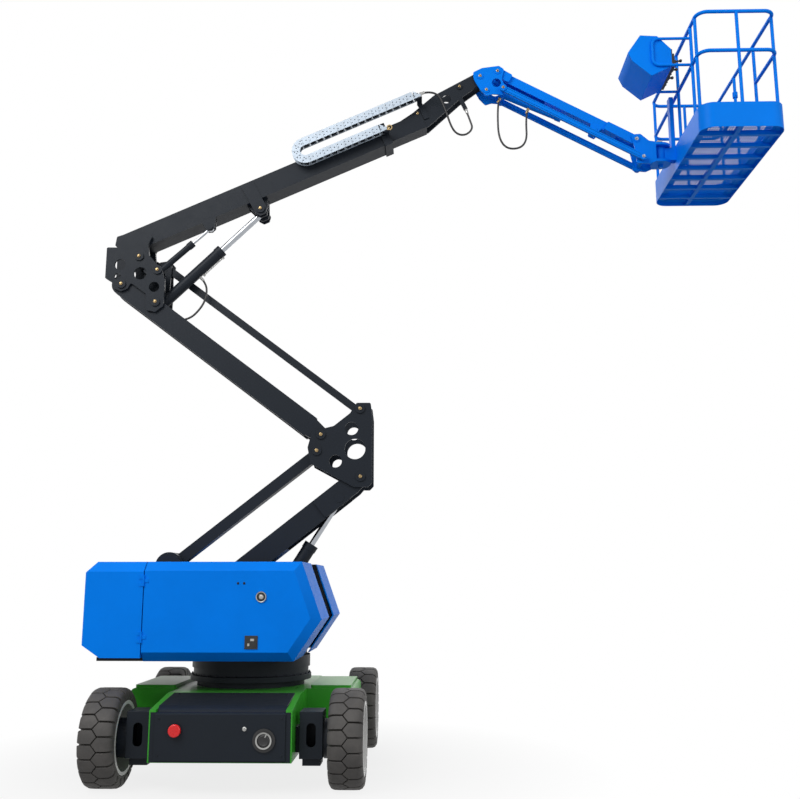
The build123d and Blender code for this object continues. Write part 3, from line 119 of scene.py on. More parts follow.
def sprayed_paint(name, colour, gloss=0.32, dust=0.05, coat=0.25, wear=0.10, shine=0.5):
    """Sprayed enamel: slow shifts of shade, orange peel, thin dust on upward faces and paler worn edges."""
    material, nodes, links, shader = new_material(name)
    cloud = noise(nodes, links, 1.6, 6)
    clouded = ramp(nodes, links, cloud, 0, 1, 0.3, 0.7)
    body = mixed(nodes, links, clouded, shade(colour, 0.93), shade(colour, 1.06))
    geometry = nodes.new("ShaderNodeNewGeometry")
    bevel = nodes.new("ShaderNodeBevel")
    bevel.samples = 4
    bevel.inputs["Radius"].default_value = 0.005
    dot = nodes.new("ShaderNodeVectorMath")
    dot.operation = "DOT_PRODUCT"
    links.new(bevel.outputs["Normal"], dot.inputs[0])
    links.new(geometry.outputs["Normal"], dot.inputs[1])
    edge = ramp(nodes, links, dot.outputs["Value"], wear, 0, 0.80, 0.985)
    broken = nodes.new("ShaderNodeMath")
    broken.operation = "MULTIPLY"
    links.new(edge, broken.inputs[0])
    links.new(ramp(nodes, links, noise(nodes, links, 28, 6), 0, 1.2, 0.40, 0.66), broken.inputs[1])
    pale = tuple(min(1.0, 0.6 * c + 0.12) for c in colour)
    worn = mixed(nodes, links, broken.outputs[0], body, pale)
    split = nodes.new("ShaderNodeSeparateXYZ")
    links.new(geometry.outputs["Normal"], split.inputs[0])
    lying = nodes.new("ShaderNodeMath")
    lying.operation = "MULTIPLY"
    links.new(ramp(nodes, links, split.outputs["Z"], 0, dust, 0.25, 1.0), lying.inputs[0])
    links.new(ramp(nodes, links, noise(nodes, links, 9, 8), 0.3, 1.3, 0.35, 0.7), lying.inputs[1])
    links.new(mixed(nodes, links, lying.outputs[0], worn, (0.42, 0.39, 0.34)), shader.inputs["Base Color"])
    sheen = ramp(nodes, links, noise(nodes, links, 14, 6), gloss - 0.05, gloss + 0.09)
    links.new(sheen, shader.inputs["Roughness"])
    shader.inputs["Specular IOR Level"].default_value = shine
    shader.inputs["Coat Weight"].default_value = coat
    shader.inputs["Coat Roughness"].default_value = 0.16
    bumped(nodes, links, shader, noise(nodes, links, 420, 2), 0.05, 0.0005)
    return material


def dress(node, material, bevel=0.003, turn=38):
    """Gives a solid its finish and breaks its sharp edges."""
    piece = frame["nodes"][node]
    piece.data.materials.clear()
    piece.data.materials.append(material)
    piece.modifiers.new("joined", "WELD").merge_threshold = 0.00005
    if bevel:
        broken = piece.modifiers.new("edges", "BEVEL")
        broken.width = bevel
        broken.segments = 2
        broken.limit_method = "ANGLE"
        broken.angle_limit = math.radians(turn)
        broken.use_clamp_overlap = True
    for face in piece.data.polygons:
        face.use_smooth = True
    smooth = piece.modifiers.new("smooth", "WEIGHTED_NORMAL")
    smooth.weight = 70
    return piece


green_paint = sprayed_paint("green_paint", GREEN, gloss=0.28, dust=0.04, coat=0.0, shine=0.2)
dress("chassis_frame", green_paint, 0.004)
dress("pod_lids", green_paint, 0.004)

# Nose lids, end panels and axles: folded and welded steel in dark grey satin paint.
# The lids are screwed on round their rims; the axles are bolted between the side plates.
CHARCOAL = (0.0125, 0.0165, 0.0230)
charcoal_paint = sprayed_paint(
    "charcoal_paint", CHARCOAL, gloss=0.42, dust=0.01, coat=0.0, wear=0.06, shine=0.14)
for node in ("nose_lids", "end_panels", "axle_blocks", "drive_axle", "steer_axle",
             "knuckle_left", "knuckle_right", "tie_rod"):
    dress(node, charcoal_paint, 0.003)


def steel(name, colour, rough, metal=1.0, grain=60, stain=0.62):
    """Bare or plated metal with fine grain and darker stains."""
    material, nodes, links, shader = new_material(name)
    patch = ramp(nodes, links, noise(nodes, links, 12, 6), 0, 1, 0.42, 0.72)
    links.new(mixed(nodes, links, patch, colour, shade(colour, stain)), shader.inputs["Base Color"])
    shader.inputs["Metallic"].default_value = metal
    sheen = ramp(nodes, links, noise(nodes, links, grain, 5), rough - 0.05, rough + 0.10)
    links.new(sheen, shader.inputs["Roughness"])
    bumped(nodes, links, shader, noise(nodes, links, grain * 8, 2), 0.05, 0.0003)
    return material


zinc = steel("zinc_plate", (0.40, 0.40, 0.39), 0.34)
brass_plate = steel("yellow_zinc", (0.46, 0.33, 0.16), 0.30)


def mesh_piece(name, build, material, body, smooth=40):
    """New piece from a function that fills a bmesh, riding on one body, or on none."""
    data = bmesh.new()
    build(data)
    bmesh.ops.recalc_face_normals(data, faces=data.faces)
    mesh = bpy.data.meshes.new(name)
    data.to_mesh(mesh)
    data.free()
    piece = bpy.data.objects.new(name, mesh)
    scene.collection.objects.link(piece)
    mesh.materials.append(material)
    mesh.set_sharp_from_angle(angle=math.radians(smooth))
    for face in mesh.polygons:
        face.use_smooth = True
    if body:
        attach(piece, body)
    return piece


def lathe(data, loops, closed):
    """Joins rings of points side by side, and caps the ends or closes the row on itself."""
    rings = [[data.verts.new(point) for point in loop] for loop in loops]
    pairs = list(zip(rings, rings[1:])) + ([(rings[-1], rings[0])] if closed else [])
    for lower, upper in pairs:
        for k in range(len(lower)):
            after = (k + 1) % len(lower)
            data.faces.new((lower[k], lower[after], upper[after], upper[k]))
    if not closed:
        data.faces.new(rings[0])
        data.faces.new(rings[-1])


def turned(data, profile, centre, axis, sides=24, closed=False):
    """Solid of revolution from rows of distance along the axis and radius."""
    turn = Vector(axis).to_track_quat("Z", "Y").to_matrix()
    corners = [2 * math.pi * k / sides for k in range(sides)]
    lathe(data, [[Vector(centre) + turn @ Vector((r * math.cos(a), r * math.sin(a), along)) for a in corners]
                 for along, r in profile], closed)


def hex_bolt(data, centre, axis, across, height):
    """Hex head on a washer, standing out along the axis."""
    washer = ((0, across * 0.80), (height * 0.20, across * 0.80), (height * 0.22, across * 0.76))
    turned(data, washer, centre, axis, 20)
    top = Vector(centre) + Vector(axis) * height * 0.20
    head = ((0, across * 0.58), (height * 0.62, across * 0.58), (height * 0.80, across * 0.48))
    turned(data, head, top, axis, 6)


def block(data, centre, size, turn=0.0):
    """Rectangular block, turned about the depth of the machine."""
    verts = bmesh.ops.create_cube(data, size=1)["verts"]
    c, s = math.cos(turn), math.sin(turn)
    for vert in verts:
        x, y, z = (vert.co[k] * size[k] for k in range(3))
        vert.co = Vector(centre) + Vector((x * c - z * s, y, x * s + z * c))


PANEL_FACE = 1.320
LID_SCREW_Y, LID_SCREW_Z = 0.83, 0.692
LID_SLOPE = (0.132, 0.991)
COVER_X, COVER_Y, COVER_WIDTH, COVER_THICK, SILL = 0.518, 1.307, 0.038, 0.004, 0.012


def panel_screws(data):
    for end in (-1, 1):
        facing = (0, end * LID_SLOPE[0], LID_SLOPE[1])
        for x in (-0.44, -0.22, 0.0, 0.22, 0.44):
            hex_bolt(data, (x, end * LID_SCREW_Y, LID_SCREW_Z), facing, 0.010, 0.010)
        for x in (-0.47, 0.47):
            for z in (0.30, 0.57):
                hex_bolt(data, (x, end * PANEL_FACE, z), (0, end, 0), 0.009, 0.008)


def edge_covers(data):
    low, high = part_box("end_panels")
    for end in (-1, 1):
        for side in (-1, 1):
            block(data, (side * COVER_X, end * COVER_Y, (low.z + high.z) / 2),
                  (COVER_WIDTH, COVER_THICK, high.z - low.z))
        block(data, (0, end * COVER_Y, low.z - SILL / 2), (2 * COVER_X + COVER_WIDTH, COVER_THICK, SILL))


mesh_piece("panel_screws", panel_screws, charcoal_paint, "chassis")
mesh_piece("edge_covers", edge_covers, charcoal_paint, "chassis")


# Red stop button and charging socket in the near panel, with a small lamp beside them.
# They are moulded plastic and rubber, held by plated rings and nuts.
def moulded(name, colour, rough, grain=260):
    """Moulded plastic or rubber with a fine matt texture and rubbed patches."""
    material, nodes, links, shader = new_material(name)
    patch = ramp(nodes, links, noise(nodes, links, 7, 6), 0, 1, 0.35, 0.7)
    rubbed = tuple(min(1, c * 1.3 + 0.004) for c in colour)
    links.new(mixed(nodes, links, patch, colour, rubbed), shader.inputs["Base Color"])
    sheen = ramp(nodes, links, noise(nodes, links, 30, 5), rough - 0.08, rough + 0.1)
    links.new(sheen, shader.inputs["Roughness"])
    bumped(nodes, links, shader, noise(nodes, links, grain, 3), 0.12, 0.0006)
    return material


red_plastic = moulded("red_plastic", (0.70, 0.008, 0.010), 0.26)
black_plastic = moulded("black_plastic", (0.008, 0.008, 0.009), 0.48)
dress("stop_button", red_plastic, 0.002)
dress("charge_socket", black_plastic, 0.002)
SOCKET_X, SOCKET_Z, SOCKET_FACE = 0.338, 0.412, -1.344
LAMP_X, LAMP_Z = 0.188, 0.494
TOWARDS_NEAR = (0, -1, 0)


def plated_rings(data):
    ring = ((0, 0.050), (0.005, 0.050), (0.005, 0.062), (0, 0.062))
    lamp = ((0, 0.016), (0.006, 0.016), (0.010, 0.010), (0.020, 0.009))
    turned(data, ring, (SOCKET_X, SOCKET_FACE, SOCKET_Z), TOWARDS_NEAR, 40, True)
    turned(data, lamp, (LAMP_X, -PANEL_FACE, LAMP_Z), TOWARDS_NEAR)
    block(data, (SOCKET_X + 0.019, SOCKET_FACE - 0.0035, SOCKET_Z + 0.040), (0.008, 0.006, 0.034), -0.5)


def socket_cap(data):
    cap = ((0, 0.049), (0.012, 0.049), (0.016, 0.040), (0.018, 0.036), (0.014, 0.030))
    turned(data, cap, (SOCKET_X, SOCKET_FACE + 0.014, SOCKET_Z), TOWARDS_NEAR, 32)


mesh_piece("plated_rings", plated_rings, zinc, "chassis")
mesh_piece("socket_cap", socket_cap, black_plastic, "chassis")

# Wheels: solid rubber tyres with staggered, interlocking lugs, pressed on dished steel rims.
# Each rim is painted silver and held on its hub by eight nuts.
TYRE_RADIUS, LUG_DEPTH, LUGS = 0.380, 0.028, 21
TYRE_SIDES = 4 * LUGS
NUTS, NUT_CIRCLE, NUT_SEAT = 8, 0.148, 0.052


def joint_place(name):
    """Where a joint's pin or hub stands in the frame, to a tenth of a millimetre."""
    found = next(joint for joint in frame["joints"] if joint["name"] == name)
    return tuple(round(value, 4) for value in found["pos_m"])


def tyre_rubber():
    material, nodes, links, shader = new_material("tyre_rubber")
    dust = ramp(nodes, links, noise(nodes, links, 6, 8), 0, 0.7, 0.40, 0.72)
    tone = mixed(nodes, links, dust, (0.050, 0.047, 0.045), (0.090, 0.084, 0.079))
    links.new(tone, shader.inputs["Base Color"])
    links.new(ramp(nodes, links, noise(nodes, links, 25, 5), 0.58, 0.82), shader.inputs["Roughness"])
    bumped(nodes, links, shader, noise(nodes, links, 120, 4), 0.2, 0.001)
    return material


def tyre(data, hub):
    """Rubber ring round a hub, with two rows of lugs set half a step apart."""
    core = TYRE_RADIUS - LUG_DEPTH

    def at(across, radius, angle):
        return (hub[0] + across, hub[1] + radius * math.cos(angle), hub[2] + radius * math.sin(angle))

    half = (
        (0.045, core), (0.100, core - 0.006), (0.118, core - 0.022), (0.129, core - 0.050), (0.133, 0.300),
        (0.1345, 0.2865), (0.123, 0.270),
    )
    profile = [(-across, radius) for across, radius in half] + list(reversed(half))
    corners = [2 * math.pi * k / TYRE_SIDES for k in range(TYRE_SIDES)]
    lathe(data, [[at(across, radius, a) for a in corners] for across, radius in profile], True)
    step = 2 * math.pi / LUGS
    columns = (-0.455, -0.23, 0.0, 0.23, 0.455)
    for row in (-1, 1):
        for k in range(LUGS):
            middle = step * (k + (0.5 if row > 0 else 0.0))
            top, root = [], []
            for share in columns:
                tip = -0.022 + 0.088 * abs(share) + 0.005
                crown = ((tip, 0, 0.98), (0.060, 0, 0.98), (0.098, 0.002, 0.97), (0.120, 0.012, 0.94),
                         (0.1345, 0.034, 0.86), (0.1345, 0.078, 0.80))
                foot = ((tip - 0.003, 0.034, 1.0), (0.060, 0.034, 1.0), (0.096, 0.038, 1.0),
                        (0.104, 0.050, 0.98), (0.114, 0.062, 0.92), (0.124, 0.082, 0.84))
                for rows, into in ((crown, top), (foot, root)):
                    into.append([
                        data.verts.new(at(row * across, TYRE_RADIUS - drop, middle + share * wide * step))
                        for across, drop, wide in rows])
            for grid in (top, root):
                for left, right in zip(grid, grid[1:]):
                    for j in range(5):
                        data.faces.new((left[j], right[j], right[j + 1], left[j + 1]))
            for c in range(4):
                data.faces.new((top[c][0], top[c + 1][0], root[c + 1][0], root[c][0]))
                data.faces.new((top[c][5], top[c + 1][5], root[c + 1][5], root[c][5]))
            for j in range(5):
                data.faces.new((top[0][j], top[0][j + 1], root[0][j + 1], root[0][j]))
                data.faces.new((top[4][j], top[4][j + 1], root[4][j + 1], root[4][j]))


tread = tyre_rubber()
rim_paint = sprayed_paint("rim_paint", (0.60, 0.60, 0.59), gloss=0.36, dust=0.05, coat=0.1, wear=0.05)
for name in ("near_left", "near_right", "far_left", "far_right"):
    hub = joint_place(f"wheel_{name}_spin")
    side = math.copysign(1, hub[0])
    rubber = mesh_piece("tread_" + name, lambda data: tyre(data, hub), tread, "wheel_" + name, 35)
    edges = rubber.modifiers.new("edges", "BEVEL")
    edges.width = 0.003
    edges.limit_method = "ANGLE"
    edges.angle_limit = math.radians(40)
    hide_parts("tyre_" + name)
    dress("rim_" + name, rim_paint, 0.003)

    def nuts(data):
        for k in range(NUTS):
            a = 2 * math.pi * (k + 0.5) / NUTS
            y, z = hub[1] + NUT_CIRCLE * math.cos(a), hub[2] + NUT_CIRCLE * math.sin(a)
            hex_bolt(data, (hub[0] + side * NUT_SEAT, y, z), (side, 0, 0), 0.016, 0.022)

    mesh_piece("nuts_" + name, nuts, zinc, "wheel_" + name)

# Slewing ring and turret frame: a ring bolted to the deck, a floor plate and uprights welded above it.
# The uprights hold the foot pins of the riser.
for node in ("slew_ring", "turret_frame"):
    dress(node, charcoal_paint, 0.003)
RING_BOLTS, BOLT_CIRCLE, RING_TOP = 36, 0.522, 0.7955


def ring_bolts(data):
    for k in range(RING_BOLTS):
        a = 2 * math.pi * (k + 0.5) / RING_BOLTS
        spot = (BOLT_CIRCLE * math.cos(a), BOLT_CIRCLE * math.sin(a), RING_TOP)
        hex_bolt(data, spot, (0, 0, 1), 0.010, 0.012)


mesh_piece("ring_bolts", ring_bolts, charcoal_paint, "chassis")

# Counterweight and hoods: a cast tail block and two moulded covers in bright blue.
# The hoods hang on butt hinges at the tail block and are held shut by a lock and a black latch.
BLUE = (0.0, 0.205, 0.86)
blue_paint = sprayed_paint("blue_paint", BLUE, gloss=0.42, dust=0.0, coat=0.0, wear=0.04, shine=0.06)
dress("counterweight", blue_paint, 0.012)
for node in ("hood_near", "hood_far"):
    dress(node, blue_paint, 0.006)
dress("power_packs", black_plastic, 0.010)
HOOD_FACE = 0.950
LOCK_X, LOCK_Z = 0.227, 1.470
LATCH_X, LATCH_Z, LATCH_SIZE, LATCH_THICK = 0.155, 1.110, 0.105, 0.007
SCREWS_X, SCREWS_Z = (0.034, 0.084), 1.579
for name, side in (("near", -1), ("far", 1)):
    outward = (0, side, 0)
    lock = (LOCK_X, side * HOOD_FACE, LOCK_Z)
    plate_y, latch_y = side * (HOOD_FACE + LATCH_THICK / 2), side * (HOOD_FACE + LATCH_THICK)

    def hood_lock(data):
        turned(data, ((0, 0.036), (0.010, 0.036), (0.012, 0.042), (0, 0.046)), lock, outward, 32, True)
        turned(data, ((0, 0.018), (0.006, 0.018), (0.008, 0.012)), lock, outward)
        block(data, (LATCH_X + 0.010, latch_y, LATCH_Z + 0.020), (0.030, 2 * LATCH_THICK, 0.018))
        block(data, (LATCH_X - 0.020, latch_y, LATCH_Z - 0.018), (0.016, 2 * LATCH_THICK, 0.020))

    def hood_latch(data):
        block(data, (LATCH_X, plate_y, LATCH_Z), (LATCH_SIZE, LATCH_THICK, LATCH_SIZE))
        block(data, (LATCH_X + 0.025, latch_y, LATCH_Z - 0.015), (0.030, 2 * LATCH_THICK, 0.040))
        turned(data, ((0, 0.037), (0.003, 0.037), (0.004, 0.034)), lock, outward)

    def hood_screws(data):
        for x in SCREWS_X:
            spot = (x, side * HOOD_FACE, SCREWS_Z)
            turned(data, ((0, 0.010), (0.003, 0.010), (0.006, 0.006)), spot, outward, 14)

    mesh_piece("hood_lock_" + name, hood_lock, zinc, "hood_" + name)
    mesh_piece("hood_latch_" + name, hood_latch, black_plastic, "hood_" + name)
    mesh_piece("hood_screws_" + name, hood_screws, charcoal_paint, "hood_" + name)

# Riser arms, links, knuckles and boom: box tubes and twin plates welded from steel, in dark grey paint.
# Each pin is kept by a plated bolt in the middle of its head.
for node in ("lower_arm", "lower_link", "mid_knuckle", "upper_arm", "upper_link", "top_knuckle", "boom_tube",
             "extension", "riser_barrel", "lift_barrel", "level_barrel"):
    dress(node, charcoal_paint, 0.003)


def pin(name):
    """Where a joint's pin stands, along and up."""
    x, _, z = joint_place(name)
    return x, z


def beside(start, first, second):
    """Pin that stands to the start as the second stands to the first, in a parallelogram of arms."""
    return start[0] + second[0] - first[0], start[1] + second[1] - first[1]


LOWER_FOOT, LOWER_LINK_FOOT, LOWER_TOP = pin("riser_lift"), pin("riser_link"), pin("riser_level")
JIB_PIVOT, JIB_FOOT, JIB_LINK_FOOT = pin("jib_base_level"), pin("jib_lift"), pin("jib_link_swing")
JIB_END = pin("platform_level")
JIB_LOWER_PIN = (JIB_PIVOT[0] + 0.060, JIB_PIVOT[1] - 0.151)
LIFT_EYE = (-0.0193, 5.1597)
HEAD_PINS = ((1.5116, 6.1613), (1.9300, 6.4485))
KNUCKLE_FACE, BOOM_FACE, HEAD_FACE, JIB_FACE, LINK_FACE = 0.184, 0.140, 0.084, 0.106, 0.1585
PIN_BOLTS = (
    ("turret", KNUCKLE_FACE, 0.019, (LOWER_FOOT, LOWER_LINK_FOOT)),
    ("mid_knuckle", KNUCKLE_FACE, 0.019, (
        LOWER_TOP, beside(LOWER_TOP, LOWER_FOOT, LOWER_LINK_FOOT),
        pin("upper_arm_fold"), pin("upper_link_fold"))),
    ("top_knuckle", KNUCKLE_FACE, 0.019, (
        pin("top_level"), pin("boom_lift"), pin("lift_barrel_tilt"), pin("level_barrel_tilt"))),
    ("boom", BOOM_FACE, 0.019, (LIFT_EYE,)),
    ("extension", HEAD_FACE, 0.015, HEAD_PINS),
    ("jib_base", JIB_FACE, 0.017, (JIB_PIVOT, JIB_FOOT, JIB_LOWER_PIN)),
    ("jib_base", LINK_FACE, 0.017, (JIB_LINK_FOOT,)),
    ("platform_mount", JIB_FACE, 0.022, (JIB_END,)),
    ("platform_mount", LINK_FACE, 0.020, (beside(JIB_END, JIB_FOOT, JIB_LINK_FOOT),)),
)
for number, (body, face, across, places) in enumerate(PIN_BOLTS):
    def pin_bolts(data):
        for x, z in places:
            for side in (-1, 1):
                hex_bolt(data, (x, side * face, z), (0, side, 0), across, 0.020)

    plating = zinc if body == "platform_mount" else brass_plate
    mesh_piece(f"pin_bolts_{number}_{body}", pin_bolts, plating, body)

# Cylinder rods, pipe and fittings: ground and chromed bar, a steel pipe clipped under the lift barrel.
# The pipe feeds the gland end and is held by two saddle clips.
chrome = steel("chrome_rod", (0.40, 0.42, 0.45), 0.16, grain=20, stain=0.9)
for node in ("riser_rod", "lift_rod", "level_rod", "jib_rod"):
    dress(node, chrome, 0.001)
LIFT_FOOT, LIFT_TILT = pin("lift_barrel_tilt"), math.radians(44.33)
BOOM_PIVOT, BOOM_TILT = pin("boom_lift"), math.radians(23.9)
PIPE_CLIPS, PIPE_RISE, CLIP_INNER, CLIP_OUTER = (0.52, 0.77), -0.066, -0.050, -0.076


def along(start, tilt, distance, rise=0.0, y=0.0):
    """Point on a slanted line: a distance along it, a rise to its left and a depth."""
    c, s = math.cos(tilt), math.sin(tilt)
    return Vector((start[0] + distance * c - rise * s, y, start[1] + distance * s + rise * c))


def rod_between(data, start, end, radius, sides=14):
    direction = Vector(end) - Vector(start)
    turned(data, ((0, radius), (direction.length, radius)), start, direction.normalized(), sides)


def lift_pipe(data):
    start, end = (along(LIFT_FOOT, LIFT_TILT, place, PIPE_RISE) for place in PIPE_CLIPS)
    rod_between(data, start, end, 0.006)
    for place in PIPE_CLIPS:
        inner = along(LIFT_FOOT, LIFT_TILT, place, CLIP_INNER)
        outer = along(LIFT_FOOT, LIFT_TILT, place, CLIP_OUTER)
        rod_between(data, inner, outer, 0.012, 6)


mesh_piece("lift_pipe", lift_pipe, zinc, "lift_barrel")

# Energy chain: plated steel links with dark rivets and cross bars, carrying the hoses out along the boom.
# The lower run is bolted to the boom, the upper one to the extension, and the bend rolls between them.
CHAIN_NEAR, CHAIN_MIDDLE, CHAIN_FAR = -0.206, -0.168, -0.130
CHAIN_LOW, CHAIN_HIGH, CHAIN_BAND = 0.194, 0.377, 0.082
LINK_THICK, LINK_GAP = 0.005, 0.0012
BEND_AT, BEND_RISE, BEND_INNER, BEND_OUTER, BEND_LINKS = 1.875, 0.3265, 0.0508, 0.1322, 5
LOWER_END, UPPER_END = 2.700, 3.140
LOWER_LINKS, UPPER_LINKS = 11, 17
chain_plate = steel("chain_steel", (0.50, 0.58, 0.67), 0.40, metal=0.25, grain=80, stain=0.84)


def link_plate(data, corners, y0, y1):
    """Flat link plate between four corners given along and across the boom."""
    near = [data.verts.new(along(BOOM_PIVOT, BOOM_TILT, a, r, y0)) for a, r in corners]
    far = [data.verts.new(along(BOOM_PIVOT, BOOM_TILT, a, r, y1)) for a, r in corners]
    count = len(corners)
    data.faces.new(near)
    data.faces.new(far)
    for k in range(count):
        data.faces.new((near[k], near[(k + 1) % count], far[(k + 1) % count], far[k]))


def link_at(data, corners, rivets, dark):
    """One link: a plate on each side, or its dark cross bars and rivets."""
    if not dark:
        link_plate(data, corners, CHAIN_NEAR, CHAIN_NEAR + LINK_THICK)
        link_plate(data, corners, CHAIN_FAR - LINK_THICK, CHAIN_FAR)
        return
    for a, r in rivets:
        spot = along(BOOM_PIVOT, BOOM_TILT, a, r, CHAIN_NEAR - 0.001)
        turned(data, ((0, 0.005), (0.076, 0.005)), spot, (0, 1, 0), 10)
    centre = [sum(c[k] for c in corners) / len(corners) for k in (0, 1)]
    for inward in (0.80, 0.35):
        ends = [(centre[0] + (a - centre[0]) * 0.55, centre[1] + (r - centre[1]) * inward)
                for a, r in corners]
        link_plate(data, ends, CHAIN_NEAR + 0.006, CHAIN_FAR - 0.006)


def chain_run(data, start, end, base, count, dark):
    """Straight run of links along the boom, the last one cut to a slanted end."""
    pitch = (end - start) / count
    for k in range(count):
        a0, a1 = start + k * pitch + LINK_GAP, start + (k + 1) * pitch - LINK_GAP
        top = base + CHAIN_BAND
        corners = [(a0, base), (a1, base), (a1, top), (a0, top)]
        if k == count - 1:
            corners = [(a0, base), (a1 - 0.004, base + 0.004), (a1, base + 0.020), (a0 + 0.012, top)]
        middle = base + CHAIN_BAND / 2
        rivets = ((a0 + 0.010, middle + 0.016), (a0 + 0.010, middle - 0.016), (a0 + 0.046, middle))
        link_at(data, corners, rivets, dark)


def chain_curve(data, dark):
    """Half turn of links that joins the two runs."""
    def polar(a, r):
        return (BEND_AT + r * math.cos(a), BEND_RISE + r * math.sin(a))

    for k in range(BEND_LINKS):
        turns = [math.pi / 2 + math.pi * (k + part) / BEND_LINKS for part in (0.02, 0.5, 0.98)]
        corners = [polar(a, BEND_INNER) for a in turns] + [polar(a, BEND_OUTER) for a in reversed(turns)]
        rivets = (polar(turns[0] + 0.08, 0.105), polar(turns[0] + 0.10, 0.075), polar(turns[1], 0.09))
        link_at(data, corners, rivets, dark)


for dark, finish in ((False, chain_plate), (True, charcoal_paint)):
    kind = "bars" if dark else "plates"

    def lower_run(data):
        chain_run(data, BEND_AT, LOWER_END, CHAIN_LOW, LOWER_LINKS, dark)

    def upper_run(data):
        chain_run(data, BEND_AT, UPPER_END, CHAIN_HIGH, UPPER_LINKS, dark)

    lower = mesh_piece("chain_lower_" + kind, lower_run, finish, "boom", 30)
    upper = mesh_piece("chain_upper_" + kind, upper_run, finish, None, 30)
    curve = mesh_piece("chain_bend_" + kind, lambda data: chain_curve(data, dark), finish, "chain_bend", 30)
    for piece, node in ((lower, "chain_lower"), (upper, "chain_upper"), (curve, "chain_bend")):
        if not dark:
            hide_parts(node)
    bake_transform(upper)
    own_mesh(lower)


def chain_clamp(data):
    spot = along(BOOM_PIVOT, BOOM_TILT, LOWER_END + 0.020, CHAIN_LOW + 0.011, CHAIN_NEAR)
    foot = along(BOOM_PIVOT, BOOM_TILT, LOWER_END - 0.010, CHAIN_LOW - 0.006, CHAIN_NEAR + 0.006)
    turned(data, ((0, 0.018), (0.012, 0.018), (0.012, 0.028), (0, 0.028)), spot, (0, 1, 0), 28, True)
    rod_between(data, spot + Vector((0, 0.006, 0)), foot, 0.008)


mesh_piece("chain_clamp", chain_clamp, brass_plate, "boom")

# Jib and platform: welded blue tubes and plates, with a perforated floor sheet and a control box.
# The sheet lies on the cross-members; the box hangs between two hoops on the rails.
for node in ("jib_base", "jib_arm", "jib_links", "jib_barrel", "platform_mount", "basket_floor", "basket_arm",
             "basket_rails", "basket_gate", "control_box"):
    dress(node, blue_paint, 0.002)
dress("control_panel", black_plastic, 0.002)


def perforated_sheet(data):
    """Thin sheet with round corners, a plain border and rows of eight-sided holes."""
    low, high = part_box("basket_deck")
    thick, corner, margin, pitch_x, pitch_y = 0.0025, 0.069, 0.034, 0.0223, 0.0275
    at_side, at_corner = 0.34, 0.24
    top = low.z + thick
    x0, x1, y0, y1 = low.x + margin, high.x - margin, low.y + margin, high.y - margin
    across, down = round((x1 - x0) / pitch_x), round((y1 - y0) / pitch_y)
    wide, long = (x1 - x0) / across, (y1 - y0) / down
    rim = []
    for cx, cy, turn in ((high.x - corner, high.y - corner, 0), (low.x + corner, high.y - corner, 1),
                         (low.x + corner, low.y + corner, 2), (high.x - corner, low.y + corner, 3)):
        for k in range(7):
            a = math.pi / 2 * (turn + k / 6)
            rim.append((cx + corner * math.cos(a), cy + corner * math.sin(a)))
    inner = [(min(max(x, x0), x1), min(max(y, y0), y1)) for x, y in rim]
    border = ((rim, low.z), (rim, top), (inner, top), (inner, low.z))
    lathe(data, [[(x, y, z) for x, y in loop] for loop, z in border], True)
    ring = ((1, 0), (1, 1), (0, 1), (-1, 1), (-1, 0), (-1, -1), (0, -1), (1, -1))
    for i in range(across):
        for j in range(down):
            cx, cy = x0 + (i + 0.5) * wide, y0 + (j + 0.5) * long
            outer = [(cx + u * wide / 2, cy + v * long / 2) for u, v in ring]
            hole = [(cx + u * wide * (at_corner if v else at_side),
                     cy + v * long * (at_corner if u else at_side)) for u, v in ring]
            cell = [[data.verts.new((x, y, z)) for x, y in loop] for loop, z in
                    ((outer, top), (hole, top), (hole, low.z), (outer, low.z))]
            for first, second in zip(cell, cell[1:]):
                for k in range(8):
                    data.faces.new((first[k], first[(k + 1) % 8], second[(k + 1) % 8], second[k]))
    bmesh.ops.remove_doubles(data, verts=data.verts, dist=0.00001)


deck = mesh_piece("deck_sheet", perforated_sheet, blue_paint, "basket", 30)
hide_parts("basket_deck")
CONSOLE_X, CONSOLE_Y, CONSOLE_Z = 3.925, -0.390, 6.400
LEVER_STEP, SWITCHES, SWITCH_STEP = 0.155, 8, 0.05


def console_controls(data):
    lever = ((0, 0.032), (0.006, 0.030), (0.018, 0.018), (0.040, 0.009), (0.062, 0.009), (0.068, 0.015),
             (0.080, 0.015), (0.086, 0.010))
    switch = ((0, 0.008), (0.010, 0.008), (0.022, 0.005))
    block(data, (CONSOLE_X - 0.011, CONSOLE_Y, CONSOLE_Z), (0.022, 0.430, 0.135))
    for k in (-1, 0, 1):
        turned(data, lever, (CONSOLE_X, CONSOLE_Y + k * LEVER_STEP, CONSOLE_Z + 0.015), (1, 0, 0.15), 20)
    for k in range(SWITCHES):
        spot = (CONSOLE_X, CONSOLE_Y - 0.170 + k * SWITCH_STEP, CONSOLE_Z - 0.040)
        turned(data, switch, spot, (1, 0, 0.3), 12)
    block(data, (CONSOLE_X - 0.063, CONSOLE_Y + LEVER_STEP, CONSOLE_Z + 0.212), (0.075, 0.120, 0.150), 0.12)


def console_button(data):
    button = ((0, 0.016), (0.012, 0.016), (0.013, 0.026), (0.026, 0.026), (0.032, 0.018))
    turned(data, button, (CONSOLE_X, CONSOLE_Y - 0.080, CONSOLE_Z + 0.035), (1, 0, 0))


mesh_piece("console_controls", console_controls, black_plastic, "basket")
mesh_piece("console_button", console_button, red_plastic, "basket")
ROTATOR_TOP, ROTATOR_CAP, FLANGE_TOP, FLANGE_BACK = 5.8585, 0.012, 5.7981, 0.075


def rotator_fittings(data):
    x = joint_place("platform_turn")[0]
    rod_between(data, (x, 0, ROTATOR_TOP), (x, 0, ROTATOR_TOP + ROTATOR_CAP), 0.034, 6)
    for y in (-0.060, 0.060):
        hex_bolt(data, (x - FLANGE_BACK, y, FLANGE_TOP), (0, 0, 1), 0.010, 0.012)


